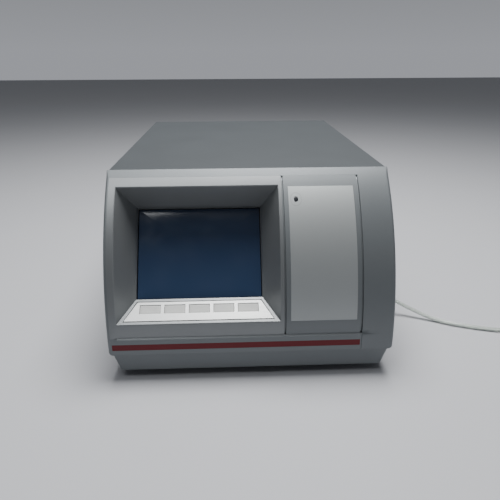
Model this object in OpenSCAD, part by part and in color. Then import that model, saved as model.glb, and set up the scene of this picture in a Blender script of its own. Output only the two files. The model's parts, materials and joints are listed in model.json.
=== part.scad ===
// Benchtop density meter: a sheet-metal cabinet with a convex moulded front, a sloped display
// recess with five soft keys, a blank right-hand panel, and the oscillating U-tube cell inside.
// Millimetres. X to the right, Y to the back, Z up. The origin lies on the table, under the
// middle of the cabinet.

/* [Cabinet] */
// Width over the front bezel
body_w = 330; // [310:1:360]
// Depth from the nose of the bezel to the rear edge of the hood
body_d = 495; // [480:1:540]
// Height from the table to the top of the hood
body_h = 230; // [226:1:250]
// How far the top edge of the bezel lies behind its nose
front_depth = 88; // [80:0.5:96]
// Height of the nose, which is the bottom edge of the bezel
nose_h = 33.5; // [30:0.5:36]
// Step from the side of the bezel down to the side of the hood
hood_step = 1.5; // [1.5:0.1:4]
// Sheet thickness of the hood
hood_t = 1.5; // [1:0.1:2]
// Bend radius along the top edges of the hood
hood_bend = 2; // [2:0.5:8]
// Height of the rubber feet
foot_h = 12; // [10:0.5:16]
// Radius of the rubber feet
foot_r = 15; // [12:0.5:18]
// Sheet thickness of the base tray
tray_t = 2; // [1.5:0.1:2.5]
// Height of the tray's side flanges
tray_flange = 22; // [18:1:24]
// How far the rear panel lies inside the rear edge of the hood
rear_inset = 6; // [5.5:0.5:10]
// Sheet thickness of the rear panel
rear_t = 1.5; // [1:0.1:2]

/* [Front] */
// Wall of the moulded bezel
bezel_t = 3; // [2.5:0.1:3.5]
// Lower edge of the display insert and the right-hand panel
inserts_z0 = 55; // [50:0.5:60]
// Distance of the display insert's upper edge below the top of the hood
insert_drop = 7.5; // [6:0.5:10]
// Distance of the right-hand panel's upper edge below the top of the hood
panel_drop = 7.5; // [5:0.5:10]
// Left edge of the opening, from the middle of the cabinet
opening_left = 161.5; // [158:0.5:162]
// Seam between the display insert and the right-hand panel, right of the middle
seam_x = 38.5; // [36:0.5:42]
// Width of the visible grooves along the seams
groove_w = 2; // [1:0.1:3]
// Depth of those grooves
groove_depth = 1.2; // [0.6:0.1:1.8]
// Right edge of the right-hand panel, from the middle of the cabinet
panel_right = 125.7; // [115:0.5:140]
// How far the lower border of both inserts falls back
border_fall = 1.5; // [0.5:0.1:2]
// Lower edge of the red strip
strip_z0 = 40; // [38:0.5:44]
// Height of the red strip
strip_h = 7.3; // [4:0.1:9]
// Lower edge of the chin
chin_z0 = 10; // [9.5:0.5:14]
// How far the sides of the chin lie inside the bezel at its top
chin_inset = 2.2; // [1:0.1:6]
// How far they taper in towards the bottom
chin_taper = 7; // [2:0.5:8]

/* [Display] */
// Middle of the display recess, left of the middle of the cabinet
display_x = 60; // [56:0.5:62]
// Width of the visible screen
screen_w = 147.5; // [140:0.5:152]
// Height of the visible screen
screen_h = 110; // [100:0.5:112]
// Tilt of the screen back from the vertical
screen_tilt = 34; // [30:0.5:36]
// Width of the recess at the front surface
recess_w = 187; // [180:0.5:188]
// Height of the ledge's front edge
lip_z = 72; // [70:0.5:76]
// Distance of the recess's upper edge below the top of the hood
recess_drop = 16.7; // [14:0.1:20]
// Length of the sloped ledge that carries the keys
ledge_len = 33; // [31:0.5:35]
// Slope of the ledge
ledge_tilt = 32; // [28:0.5:36]
// Wall of the display insert round the recess
recess_t = 2.5; // [2:0.1:3]

/* [Keys] */
// Number of soft keys
key_count = 5; // [5:1:5]
// Spacing of the keys
key_pitch = 28.3; // [27.5:0.1:29]
// Width of a key's window
key_w = 24.1; // [20:0.1:26]
// Height of a key's window
key_h = 11.3; // [9:0.1:12]
// Distance of the middle of the keys from the ledge's front edge
key_pos = 19.5; // [18.5:0.1:21.5]
// Gap between a key and its window
key_gap = 0.3; // [0.2:0.05:0.5]
// How far a key lies below the plate's face
key_sink = 0.7; // [0.3:0.1:1]
// Travel of a key
key_travel = 0.8; // [0.4:0.1:1]
// Thickness of the key plate
key_plate_t = 1.5; // [1:0.1:2]
// Pocket for the key plate
key_pocket = 1.2; // [0.8:0.1:1.4]
// Groove round the key plate
key_groove = 0.9; // [0.5:0.1:1.5]

/* [Label] */
// Width of the bare label plate
label_w = 76; // [60:0.5:80]
// Its lower edge
label_z0 = 72.3; // [66:0.1:90]
// Distance of its upper edge below the top of the hood
label_drop = 17.8; // [14:0.1:40]
// Its thickness
label_t = 0.7; // [0.4:0.1:1]
// Radius of the status lamp
lamp_r = 2.2; // [1.5:0.1:3]

/* [Sample ports] */
// Distance of the ports behind the bezel's rear edge
port_back = 59.5; // [55:0.5:60]
// Height of the waste port
waste_z = 46; // [46:0.5:48]
// Distance from the waste port up to the filling port
port_pitch = 40; // [30:0.5:50]
// Radius of the round sockets
port_r = 2.1; // [2:0.05:2.4]
// Depth of the sockets
port_depth = 10; // [8:0.5:12]

/* [Measuring cell] */
// Middle of the cell, right of the middle of the cabinet
cell_x = 90; // [86:0.5:92]
// Outer radius of the U-tube
utube_r = 1.6; // [1.2:0.1:2]
// Distance between the legs of the U-tube
utube_pitch = 16; // [12:0.5:18]
// Length of the legs of the U-tube
utube_len = 125; // [100:1:128]
// Length of the thermostat block
block_len = 140; // [136:1:150]
// Width and height of the thermostat block
block_w = 56; // [54:0.5:60]
// Radius of the glass jacket
jacket_r = 18.7; // [16:0.1:19.5]

/* [Rear] */
// Middle of the fan, right of the middle of the cabinet
fan_x = 85; // [70:1:100]
// Height of the middle of the fan
fan_z = 150; // [120:1:170]
// Side of the square fan frame
fan_size = 80; // [80:1:92]
// Middle of the mains inlet, left of the middle of the cabinet
mains_x = 110; // [100:1:125]
// Swing of the power rocker from off to on
rocker_swing = 16; // [10:1:18]

/* [Waste hose] */
// Outer diameter of the hose
hose_d = 5.5; // [5:0.1:5.6]
// Turns of the coil in each of its two layers
coil_turns = 2; // [2:1:2]
// Radius of the coil's outer turn
coil_r = 36.2; // [34:0.1:38]
// Distance between neighbouring turns
coil_pitch = 6.2; // [6.1:0.1:6.4]

/* [Hidden] */
$fn = 48;

// Clearances
fit = 0.3;         // between parts that are set beside each other
run_fit = 0.05;    // radial, between a shaft and its bore
eps = 1;           // how far a cut reaches past a face

// Cabinet, worked out from the driving sizes
front_y = -body_d / 2;
rear_y = body_d / 2;
hood_y = front_y + front_depth;
arc_rise = body_h - nose_h;
arc_r = (front_depth * front_depth + arc_rise * arc_rise) / (2 * front_depth);
arc_y = front_y + arc_r;
arc_fn = 360;
hood_w = body_w - 2 * hood_step;
hood_in = hood_w / 2 - hood_t;
hood_z0 = foot_h + 1;
floor_z = foot_h + tray_t;
tray_half = hood_in - fit;
rear_face = rear_y - rear_inset;
rear_inner = rear_face - rear_t;
function face_y(z, inset = 0) = arc_y - sqrt(pow(arc_r - inset, 2) - pow(z - nose_h, 2));

// Upper edges on the front, which follow the height of the cabinet
insert_z1 = body_h - insert_drop;
panel_z1 = body_h - panel_drop;
recess_z1 = body_h - recess_drop;
label_z1 = body_h - label_drop;

// Label plate and status lamp, which lies near the plate's upper left corner
label_shift = 0.2;
label_x0 = (seam_x + groove_w / 2 + panel_right - label_w) / 2 + label_shift;
lamp_x = label_x0 + 8.7;
lamp_z = label_z1 - 12.4;
lamp_slope = asin((lamp_z - nose_h) / arc_r);
lamp_len = bezel_t + 2;
lamp_flange = 1;
lamp_flange_t = 1.5;

// Feet
foot_x = body_w / 2 - 47;
foot_front_y = front_y + 40;
foot_rear_y = rear_face - 30;
foot_places = [for (x = [-foot_x, foot_x], y = [foot_front_y, foot_rear_y]) [x, y]];
screw_r = 2;
screw_hole_r = screw_r + 0.2;
screw_head_r = 3.6;
screw_head_h = 1.8;
foot_recess_r = 6;
foot_recess_h = 4;

// Screws of the hood and the rear panel
rear_flange_t = 2;
rear_flange_h = 14;
hood_flange_z = body_h - hood_t - rear_flange_h;
rear_screw_zs = [foot_h + rear_flange_h / 2, hood_flange_z + rear_flange_h / 2];
rear_screw_xs = [for (k = [-1:1]) k * (hood_in - 21)];
rear_screw_len = 8;
hood_screw_z = floor_z + 10;
hood_screw_reach = 4;
hood_screw_rear_y = rear_face - 40;

// Front openings
insert_x0 = -opening_left + fit;
insert_x1 = seam_x - groove_w / 2;
panel_x0 = seam_x + groove_w / 2;
panel_x1 = panel_right;
opening_x1 = panel_right + groove_w;
inserts_b = inserts_z0 + fit;
strip_margin = 1.4;
strip_x0 = -opening_left + strip_margin;
strip_x1 = opening_x1 - groove_w;
insert_back = bezel_t - 0.1;   // the inserts' back, just clear of their seat
seat_w = 4;
seat_t = 2.5;
mullion_w = 4.4;
strip_t = 0.4;
trim_gap = 0.1;
chin_half_top = body_w / 2 - chin_inset;
chin_front = 3;
chin_fall = 2;
chin_t = 3;

// Display, with the ledge and the screen in their own tilted frames
lip_y = face_y(lip_z);
display_mid = -display_x;
screen_y = lip_y + ledge_len * cos(ledge_tilt);
screen_z = lip_z + ledge_len * sin(ledge_tilt);
rim_side = 8;
rim_bottom = 4;
rim_t = 3;
glass_lap = 4;
glass_t = 2;
lcd_t = 8;
lcd_gap = 0.3;
lcd_back_t = 1;
lcd_depth = rim_t + glass_t + 2 * lcd_gap + lcd_t + lcd_back_t;
recess_steps = 12;
recess_reach = 1.25;

// Bulkhead behind the display, and the board on it
bulkhead_gap = 5;
bulkhead_y = screen_y + (screen_h + glass_lap + fit + lcd_back_t) * sin(screen_tilt)
    + lcd_depth * cos(screen_tilt) + bulkhead_gap;
bulkhead_t = 1.5;
bulkhead_foot = 15;
bulkhead_z1 = body_h - 12;
cable_hole = 60;
hood_screw_front_y = bulkhead_y + bulkhead_t + screw_r + 0.5;
hood_screw_ys = [for (k = [0:2])
    hood_screw_front_y + k * (hood_screw_rear_y - hood_screw_front_y) / 2];
display_board_w = 150;
display_board_h = 90;
display_board_z = bulkhead_z1 - display_board_h - 18;
board_standoff = 6;
board_edge = 7;

// Key plate
plate_bottom = 4.5;
plate_top = 28.8;
plate_margin_bottom = 5.4;
plate_margin_top = 4.7;
ledge_taper = (recess_w - screen_w) / 2 / ledge_len;
plate_half_bottom = recess_w / 2 - plate_margin_bottom - ledge_taper * plate_bottom;
plate_half_top = recess_w / 2 - plate_margin_top - ledge_taper * plate_top;
key_flange = 0.8;
key_flange_t = 1;
key_skirt = 0.9;
key_top = key_plate_t - key_pocket - key_sink;
key_slack = 0.1;
ledge_wall = recess_t + 0.7;   // the ledge's thickness under the keys, at its thickest
key_bottom = -ledge_wall - key_slack - key_flange_t - key_skirt;
switch_w = 6;
switch_h = 3.4;
switch_button_h = 1;
switch_button_r = 1.7;
switch_top = key_bottom - key_travel - key_slack;
board_t = 1.6;
key_board_h = 17;
key_board_low = 12;
post_r = 1.8;

// Sample ports
port_y = hood_y + port_back;
fill_z = waste_z + port_pitch;
collar_r = 9;
stem_r = 5;
stem_len = 16.5;
bracket_t = 2;
bracket_x = tray_half - tray_t - 0.2;
port_face_x = body_w / 2;
stem_x0 = bracket_x - bracket_t - stem_len;
channel_r = 0.8;
nut_t = 6;
bracket_w = 40;
bracket_h = fill_z - floor_z + 24;
bracket_foot = 12;
tube_gap = 0.2;

// Measuring cell
cell_z = floor_z + 62;
sink_base_t = 6;
peltier_t = 4;
peltier_w = 40;
block_z0 = cell_z - block_w / 2;
sink_z1 = block_z0 - peltier_t;
block_y0 = port_y + 25;
cell_head_t = 12;
cell_head_w = 50;
leg_proud = 3;
leg_y0 = block_y0 - cell_head_t - leg_proud;
jacket_t = 1.5;
jacket_len = block_len - 15;
foam_t = 20;
foam_front = 3;
foam_back = 15;
sink_w = 110;
sink_over = 4;
sink_fins = 11;
fin_t = 2;
vent_slots = 8;
vent_pitch = 15;
vent_w = 5;
vent_len = 70;
probe_r = 1.5;
probe_edge = 5;
probe_x = cell_x + block_w / 2 - probe_edge;
probe_y = block_y0 + block_len * 0.4;
tube_d = 3;

// Rear fittings
mains_z0 = floor_z + 16;
mains_w = 31;
mains_h = 70;
mains_body_w = 27;
mains_body_h = 64;
mains_depth = 29;
mains_flange_t = 2.5;
drawer_w = 21.8;
drawer_h = 7.8;
drawer_z = mains_z0 + 7.5;
drawer_len = 22;
drawer_front_t = 1.2;
drawer_front_lap = 0.8;
drawer_wall = 1;
fuse_pitch = 10.4;
fuse_bay_w = 6;
socket_z = mains_z0 + 24;
socket_w = 24.5;
socket_h = 16.5;
socket_depth = 20;
pin_len = 13;
pin_pitch = 7;
pin_w = 2;
pin_h = 4;
rocker_z = mains_z0 + 51;
rocker_y = rear_face + mains_flange_t - 4;
rocker_w = 19.4;
rocker_half = 12;
rocker_window_w = rocker_w + 2 * fit;
rocker_window_h = 2 * rocker_half + 2;
rocker_room = 14;
rocker_pin_r = 1;
rocker_pin_len = 1.7;
fan_t = 25;
fan_bore_r = fan_size / 2 - 2;
fan_hub_r = 16;
fan_blades = 7;
fan_axle_r = 1.5;
fan_hole = fan_size / 2 - 4.25;
fan_plate_t = 4;
fan_arm_w = 4;
fan_arm_t = 3;
fan_tip_gap = 1.5;
blade_t = 1.6;
blade_chord = 22;
blade_pitch = 40;
guard_wire = 1;
guard_rings = [12, 21, 30, fan_bore_r];
guard_ear_r = 4.2;
fan_screw_grip = 18.5;

// Main board with its rear sockets
pillar_h = 12;
pillar_r = 3;
board_w = 80;
board_x0 = -62;
board_len = 176;
board_y1 = rear_inner - 2;
board_z = floor_z + pillar_h;
ports_z = board_z + board_t;
port_proud = 1;
socket_back = 12;
socket_open = 6;
net_x = board_x0 + 12;
net_w = 16;
net_h = 13.5;
net_wall = 1.2;
usb_x = board_x0 + 30;
usb_pitch = 16;
usb_w = 13.2;
usb_h = 6.4;
usb_wall = 0.6;
serial_x = board_x0 + board_w - 15.5;
serial_w = 16;
serial_h = 11;
serial_lip = 1;
serial_wall = 0.6;
serial_proud = 4.5;
contact_r = 0.5;
contact_pitch = 2.7;
chip_w = 28;
chip_h = 3;
chip_x = board_x0 + 22;
chip_y = board_y1 - 110;
memory_w = 10;
memory_len = 14;
memory_h = 2;
memory_pitch = 16;
memory_y = board_y1 - 140;
plug_w = 6;
plug_len = 18;
plug_h = 8;
plug_pitch = 26;
plug_y = board_y1 - 112;

// Power supply
supply_w = 80;
supply_len = 140;
supply_h = 45;
supply_wall = 1.5;
supply_x0 = -tray_half + 8;
supply_y1 = rear_inner - 45;
supply_vents = [4, 7];
supply_vent_pitch = 16;
supply_vent_r = 4;

// Air pump and drying cartridge of the cell's rinsing line
pump_x = cell_x + 10;
pump_y = rear_inner - 95;
pump_w = 60;
pump_len = 44;
pump_h = 30;
pump_motor_r = 15;
pump_motor_h = 18;
spout_r = 2.5;
spout_len = 8;
cartridge_r = 13;
cartridge_cap_r = 14;
cartridge_cap = 8;
cartridge_len = 112;
cartridge_y = rear_inner - 42;

// Waste hose: the route's points are chosen by hand, from the connector to the coil
connector_x = 175;
hose_route = [
    [175, -100, 46], [180.5, -100, 46], [186.5, -100.1, 45.4], [192.4, -100.5, 43.2],
    [197.5, -101.3, 39.4], [201.6, -102.1, 34.4], [204.9, -103, 29], [209, -104.4, 24.3],
    [214.6, -106.7, 20.6], [221.5, -109.8, 17.3], [230, -114, 13.9], [239.5, -119, 10.6],
    [249, -124.3, 7.5], [259, -130, 4.8], [270, -136.3, 3.2], [283, -143.5, 2.8],
    [299, -150.5, 2.8], [317, -157, 2.8], [336, -162.5, 2.8], [355, -166, 2.8],
    [371, -167.5, 3.4], [386.5, -167.5, 3.4]
];
connector_r = 5;
connector_grip = 5;
connector_plug = 6;
hose_steps = 3;
hose_sides = 8;
coil_centre = [392, -167.5 - coil_r, 3.4];
coil_rings = 24;
coil_sides = 6;
coil_climb = 90;
tie_t = 0.5;
tie_w = 6;

// Colours
c_shell = [0.56, 0.58, 0.59];
c_hood = [0.40, 0.42, 0.45];
c_recess = [0.33, 0.34, 0.35];
c_steel = [0.72, 0.73, 0.75];
c_black = [0.09, 0.09, 0.10];
c_board = [0.10, 0.36, 0.22];

// ---------- Helpers ----------

// Extrudes a (Y, Z) outline along X
module x_extrude(x0, x1)
    translate([x0, 0, 0]) rotate([90, 0, 90]) linear_extrude(x1 - x0) children();

// Extrudes an (X, Z) outline along Y
module y_extrude(y0, y1)
    translate([0, y1, 0]) rotate([90, 0, 0]) linear_extrude(y1 - y0) children();

module block(x0, x1, y0, y1, z0, z1)
    translate([x0, y0, z0]) cube([x1 - x0, y1 - y0, z1 - z0]);

module x_rod(x0, x1, y, z, r)
    translate([x0, y, z]) rotate([0, 90, 0]) cylinder(h = x1 - x0, r = r);

module y_rod(y0, y1, x, z, r)
    translate([x, y1, z]) rotate([90, 0, 0]) cylinder(h = y1 - y0, r = r);

module z_rod(z0, z1, x, y, r)
    translate([x, y, z0]) cylinder(h = z1 - z0, r = r);

// The front surface: a disc about the bezel's arc centre, in the (Y, Z) plane
module face_disc(inset)
    translate([arc_y, nose_h]) circle(r = arc_r - inset, $fn = arc_fn);

// The space behind the front surface, from z0 to z1 and back to y1
module face_section(inset, z0, z1, y1) intersection() {
    face_disc(inset);
    translate([front_y - eps, z0]) square([y1 - front_y + eps, z1 - z0]);
}

// A curved sheet that follows the front surface, between two depths
module face_band(x0, x1, z0, z1, near, far) x_extrude(x0, x1) difference() {
    face_section(near, z0, z1, hood_y + front_depth / 2);
    face_disc(far);
}

// The wedge by which the lower border of an insert falls back
module border_cut(x0, x1, z0) x_extrude(x0, x1) polygon([
    [face_y(lip_z - recess_t), lip_z - recess_t],
    [face_y(z0) + border_fall, z0 - eps],
    [front_y - eps, z0 - eps],
    [front_y - eps, lip_z - recess_t]
]);

// A rectangle with its two upper corners rounded
module top_rounded(half, z0, z1, r) {
    translate([-half, z0]) square([2 * half, z1 - z0 - r]);
    translate([-half + r, z0]) square([2 * half - 2 * r, z1 - z0]);
    for (s = [-1, 1]) translate([s * (half - r), z1 - r]) circle(r = r);
}

// The ledge's frame: x across, y up the slope from the lip, z out of its face
module on_ledge() translate([-display_x, lip_y, lip_z]) rotate([ledge_tilt, 0, 0]) children();

// The screen's frame: x across, y up the screen from its lower edge, z out of its face
module on_screen()
    translate([-display_x, screen_y, screen_z]) rotate([90 - screen_tilt, 0, 0]) children();

// ---------- Swept tubes ----------

function unit(v) = v / norm(v);
function at(p, i) = p[max(0, min(len(p) - 1, i))];
// Catmull-Rom point on the stretch from p[i] to p[i + 1]
function spline(p, i, t) =
    let (a = at(p, i - 1), b = at(p, i), c = at(p, i + 1), d = at(p, i + 2))
    0.5 * (2 * b + (c - a) * t + (2 * a - 5 * b + 4 * c - d) * t * t
        + (3 * b - a - 3 * c + d) * t * t * t);
function smooth(p, n) = concat(
    [for (i = [0:len(p) - 2], k = [0:n - 1]) spline(p, i, k / n)], [p[len(p) - 1]]);
function heading(p, i) = unit(at(p, i + 1) - at(p, i - 1));
function ring(p, i, r, sides, up) =
    let (t = heading(p, i), a = unit(cross(t, up)), b = cross(a, t))
    [for (k = [0:sides - 1]) p[i] + r * (cos(360 * (k + 0.5) / sides) * a
        + sin(360 * (k + 0.5) / sides) * b)];

// A tube swept along the points p; up is never parallel to the tube
module sweep(p, d, sides, up) {
    n = len(p);
    polyhedron(
        points = [for (i = [0:n - 1]) each ring(p, i, d / 2, sides, up)],
        faces = concat(
            [[for (k = [0:sides - 1]) k]],
            [for (i = [0:n - 2], k = [0:sides - 1])
                [i * sides + k, (i + 1) * sides + k, (i + 1) * sides + (k + 1) % sides]],
            [for (i = [0:n - 2], k = [0:sides - 1])
                [i * sides + k, (i + 1) * sides + (k + 1) % sides, i * sides + (k + 1) % sides]],
            [[for (k = [sides - 1:-1:0]) (n - 1) * sides + k]]),
        convexity = 8);
}

// ---------- Cabinet ----------

module rubber_feet() color(c_black) for (p = foot_places) difference() {
    translate([p[0], p[1], 0]) union() {
        cylinder(h = foot_h, r = foot_r - 1);
        translate([0, 0, 2]) cylinder(h = foot_h - 2, r = foot_r);
    }
    z_rod(-eps, foot_recess_h, p[0], p[1], foot_recess_r);
    z_rod(-eps, foot_h + eps, p[0], p[1], screw_hole_r);
}

module foot_screws() color(c_steel) for (p = foot_places) {
    z_rod(foot_recess_h - screw_head_h, foot_recess_h, p[0], p[1], screw_head_r);
    z_rod(foot_recess_h, floor_z + 2, p[0], p[1], screw_r);
}

module base_tray() color(c_steel) {
    front_half = chin_half_top - chin_taper - chin_t - fit;
    vent_y0 = block_y0 + (block_len - vent_slots * vent_pitch) / 2;
    difference() {
        union() {
            block(-front_half, front_half, front_y + chin_front + chin_fall + chin_t + fit,
                hood_y + 1, foot_h, floor_z);
            block(-tray_half, tray_half, hood_y + 1, rear_face, foot_h, floor_z);
            for (s = [0, 1]) mirror([s, 0, 0])
                block(tray_half - tray_t, tray_half, hood_y + 1, rear_inner, foot_h,
                    foot_h + tray_flange);
            block(-tray_half, tray_half, rear_inner - rear_flange_t, rear_inner,
                foot_h, foot_h + rear_flange_h);
        }
        for (p = foot_places) z_rod(foot_h - eps, floor_z + eps, p[0], p[1], screw_hole_r);
        for (y = hood_screw_ys) x_rod(-body_w, body_w, y, hood_screw_z, screw_hole_r);
        for (x = rear_screw_xs)
            y_rod(rear_inner - rear_flange_t - eps, rear_inner + eps, x, rear_screw_zs[0],
                screw_hole_r);
        for (k = [0:vent_slots - 1]) translate([0, vent_y0 + k * vent_pitch, 0])
            block(cell_x - vent_len / 2, cell_x + vent_len / 2, vent_w, 2 * vent_w,
                foot_h - eps, floor_z + eps);
    }
}

module hood() color(c_hood) difference() {
    union() {
        y_extrude(hood_y, rear_y) difference() {
            top_rounded(hood_w / 2, hood_z0, body_h, hood_bend);
            top_rounded(hood_in, hood_z0 - eps, body_h - hood_t, hood_bend - hood_t);
        }
        block(-hood_in + 8, hood_in - 8, rear_inner - rear_flange_t, rear_inner,
            hood_flange_z, body_h - hood_t / 2);
    }
    for (y = hood_screw_ys) x_rod(-body_w, body_w, y, hood_screw_z, screw_hole_r);
    for (z = [waste_z, fill_z]) x_rod(hood_in - eps, body_w / 2, port_y, z, collar_r + fit);
    for (x = rear_screw_xs)
        y_rod(rear_inner - rear_flange_t - eps, rear_inner + eps, x, rear_screw_zs[1],
            screw_hole_r);
}

module hood_screws() color(c_steel) for (s = [0, 1], y = hood_screw_ys) mirror([s, 0, 0]) {
    x_rod(hood_w / 2, hood_w / 2 + screw_head_h, y, hood_screw_z, screw_head_r);
    x_rod(tray_half - tray_t - hood_screw_reach, hood_w / 2, y, hood_screw_z, screw_r);
}

module rear_panel() color(c_steel) difference() {
    y_extrude(rear_inner, rear_face)
        top_rounded(tray_half, floor_z, body_h - hood_t - fit, hood_bend - hood_t);
    for (x = rear_screw_xs, z = rear_screw_zs)
        y_rod(rear_inner - eps, rear_face + eps, x, z, screw_hole_r);
    y_rod(rear_inner - eps, rear_face + eps, fan_x, fan_z, fan_bore_r);
    fan_corners() y_rod(rear_inner - eps, rear_face + eps, 0, 0, screw_hole_r);
    block(-mains_x - mains_body_w / 2 - fit, -mains_x + mains_body_w / 2 + fit,
        rear_inner - eps, rear_face + eps, mains_z0 + (mains_h - mains_body_h) / 2 - fit,
        mains_z0 + (mains_h + mains_body_h) / 2 + fit);
    block(net_x - net_w / 2 - fit, serial_x + serial_w / 2 + fit, rear_inner - eps,
        rear_face + eps, ports_z - fit, ports_z + net_h + fit);
}

module rear_screws() color(c_steel) {
    for (x = rear_screw_xs, z = rear_screw_zs) {
        y_rod(rear_face, rear_face + screw_head_h, x, z, screw_head_r);
        y_rod(rear_face - rear_screw_len, rear_face, x, z, screw_r);
    }
    fan_corners() {
        y_rod(rear_face + 2 * guard_wire, rear_face + 2 * guard_wire + screw_head_h, 0, 0,
            screw_head_r);
        y_rod(rear_inner - fan_screw_grip, rear_face + 2 * guard_wire, 0, 0, screw_r);
    }
}

module front_bezel() color(c_shell) {
    in_half = body_w / 2 - bezel_t;
    difference() {
        x_extrude(-body_w / 2, body_w / 2) face_section(0, nose_h, body_h, hood_y - fit);
        x_extrude(-in_half, in_half)
            face_section(bezel_t, nose_h + bezel_t, body_h, hood_y + eps);
        block(-opening_left, seam_x, front_y - eps, hood_y, inserts_z0, insert_z1 + fit);
        block(seam_x - eps, opening_x1, front_y - eps, hood_y, inserts_z0, panel_z1 + fit);
        face_band(strip_x0 - trim_gap, strip_x1 + trim_gap, strip_z0 - trim_gap,
            strip_z0 + strip_h + trim_gap, -eps, strip_t + trim_gap);
    }
    // Seat behind the two inserts, with the bar between them
    difference() {
        face_band(-opening_left - 0.2, opening_x1 + seat_w, inserts_z0 - seat_w,
            insert_z1 + 3, bezel_t, bezel_t + seat_t);
        block(-opening_left + seat_w, seam_x - mullion_w / 2, front_y, hood_y + eps,
            inserts_z0 + seat_w, insert_z1 - seat_w);
        block(seam_x + mullion_w / 2, opening_x1 - seat_w, front_y, hood_y + eps,
            inserts_z0 + seat_w, insert_z1 - seat_w);
        block(-body_w, body_w, hood_y - fit, rear_y, 0, body_h + eps);
    }
}

module chin_side(inset, z0, z1) {
    slope = chin_taper / (nose_h - chin_z0);
    h0 = chin_half_top - (nose_h - z0) * slope - inset;
    h1 = chin_half_top - (nose_h - z1) * slope - inset;
    polygon([[-h0, z0], [h0, z0], [h1, z1], [-h1, z1]]);
}

module chin_front_outline(inset, z0, z1) {
    slope = chin_fall / (nose_h - chin_z0);
    y0 = front_y + chin_front + inset;
    polygon([[y0 + (nose_h - z0) * slope, z0], [hood_y + inset - fit, z0],
        [hood_y + inset - fit, z1], [y0 + (nose_h - z1) * slope, z1]]);
}

module chin_body(inset, z0, z1) intersection() {
    y_extrude(front_y, hood_y + inset) chin_side(inset, z0, z1);
    x_extrude(-body_w / 2, body_w / 2) chin_front_outline(inset, z0, z1);
}

module chin_cover() color(c_shell) difference() {
    chin_body(0, chin_z0, nose_h);
    chin_body(chin_t, chin_z0 - eps, nose_h + eps);
}

// ---------- Display ----------

// Corner points of the recess: each slice runs from the screen's plane to past the front
// surface. g grows the recess outwards to make the outside of its walls.
function recess_slice(t, g) =
    let (u = -g + t * (screen_h + 2 * g),
        inner = [screen_y + u * sin(screen_tilt) + g * cos(screen_tilt),
            screen_z + u * cos(screen_tilt) - g * sin(screen_tilt)],
        z = lip_z - g + t * (recess_z1 - lip_z + 2 * g),
        front = [face_y(z), z],
        out = inner + (front - inner) * recess_reach,
        half_in = screen_w / 2 + g,
        half_out = half_in + (recess_w - screen_w) / 2 * recess_reach)
    [[-display_x - half_in, inner[0], inner[1]], [-display_x + half_in, inner[0], inner[1]],
        [-display_x + half_out, out[0], out[1]], [-display_x - half_out, out[0], out[1]]];

module recess_space(g) {
    n = recess_steps;
    polyhedron(
        points = [for (i = [0:n]) each recess_slice(i / n, g)],
        faces = concat(
            [[2, 1, 0], [3, 2, 0]],
            [for (i = [0:n - 1], k = [0:3])
                [4 * (i + 1) + (k + 1) % 4, 4 * (i + 1) + k, 4 * i + k]],
            [for (i = [0:n - 1], k = [0:3])
                [4 * i + (k + 1) % 4, 4 * (i + 1) + (k + 1) % 4, 4 * i + k]],
            [[4 * n, 4 * n + 1, 4 * n + 2], [4 * n, 4 * n + 2, 4 * n + 3]]),
        convexity = 4);
}

module key_row(w, h, z0, z1) for (k = [0:key_count - 1])
    translate([(k - (key_count - 1) / 2) * key_pitch - w / 2, key_pos - h / 2, z0])
        cube([w, h, z1 - z0]);

module plate_outline(grow) polygon([
    [-plate_half_bottom - grow, plate_bottom - grow],
    [plate_half_bottom + grow, plate_bottom - grow],
    [plate_half_top + grow, plate_top + grow],
    [-plate_half_top - grow, plate_top + grow]]);

module display_insert() color(c_recess) difference() {
    union() {
        difference() {
            union() {
                face_band(insert_x0, insert_x1, inserts_b, insert_z1, 0, insert_back);
                face_band(insert_x1 - eps, seam_x - fit / 2, inserts_b, insert_z1,
                    groove_depth, insert_back);
            }
            border_cut(insert_x0 - eps, seam_x + eps, inserts_b);
        }
        intersection() {
            recess_space(recess_t);
            x_extrude(-body_w / 2, body_w / 2)
                face_section(bezel_t / 2, nose_h, insert_z1, rear_y);
        }
        on_screen() translate([-screen_w / 2 - rim_side, -rim_bottom, -rim_t])
            cube([screen_w + 2 * rim_side, screen_h + rim_bottom + rim_side, rim_t]);
    }
    recess_space(0);
    on_screen() translate([-screen_w / 2, 0, -rim_t - eps])
        cube([screen_w, screen_h, rim_t + 2 * eps]);
    on_ledge() {
        translate([0, 0, -key_pocket]) linear_extrude(key_pocket + eps)
            plate_outline(key_groove);
        key_row(key_w, key_h, -ledge_wall - 2 * eps, eps);
    }
}

module key_plate() color([0.88, 0.89, 0.90]) on_ledge() difference() {
    translate([0, 0, -key_pocket]) linear_extrude(key_plate_t) plate_outline(0);
    key_row(key_w, key_h, -key_pocket - eps, key_plate_t);
}

module soft_key(k) color([0.74, 0.75, 0.74]) on_ledge() {
    x = (k - (key_count + 1) / 2) * key_pitch;
    w = key_w - 2 * key_gap;
    h = key_h - 2 * key_gap;
    translate([x - w / 2, key_pos - h / 2, key_bottom]) cube([w, h, key_top - key_bottom]);
    translate([x - w / 2 - key_flange, key_pos - h / 2 - key_flange,
        key_bottom + key_skirt])
        cube([w + 2 * key_flange, h + 2 * key_flange, key_flange_t]);
}
module key_1() soft_key(1);
module key_2() soft_key(2);
module key_3() soft_key(3);
module key_4() soft_key(4);
module key_5() soft_key(5);

module key_switches() color(c_black) on_ledge() for (k = [1:key_count])
    translate([(k - (key_count + 1) / 2) * key_pitch, key_pos, switch_top]) {
        translate([-switch_w / 2, -switch_w / 2, -switch_h])
            cube([switch_w, switch_w, switch_h - switch_button_h / 2]);
        translate([0, 0, -switch_button_h])
            cylinder(h = switch_button_h, r = switch_button_r);
    }

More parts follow.
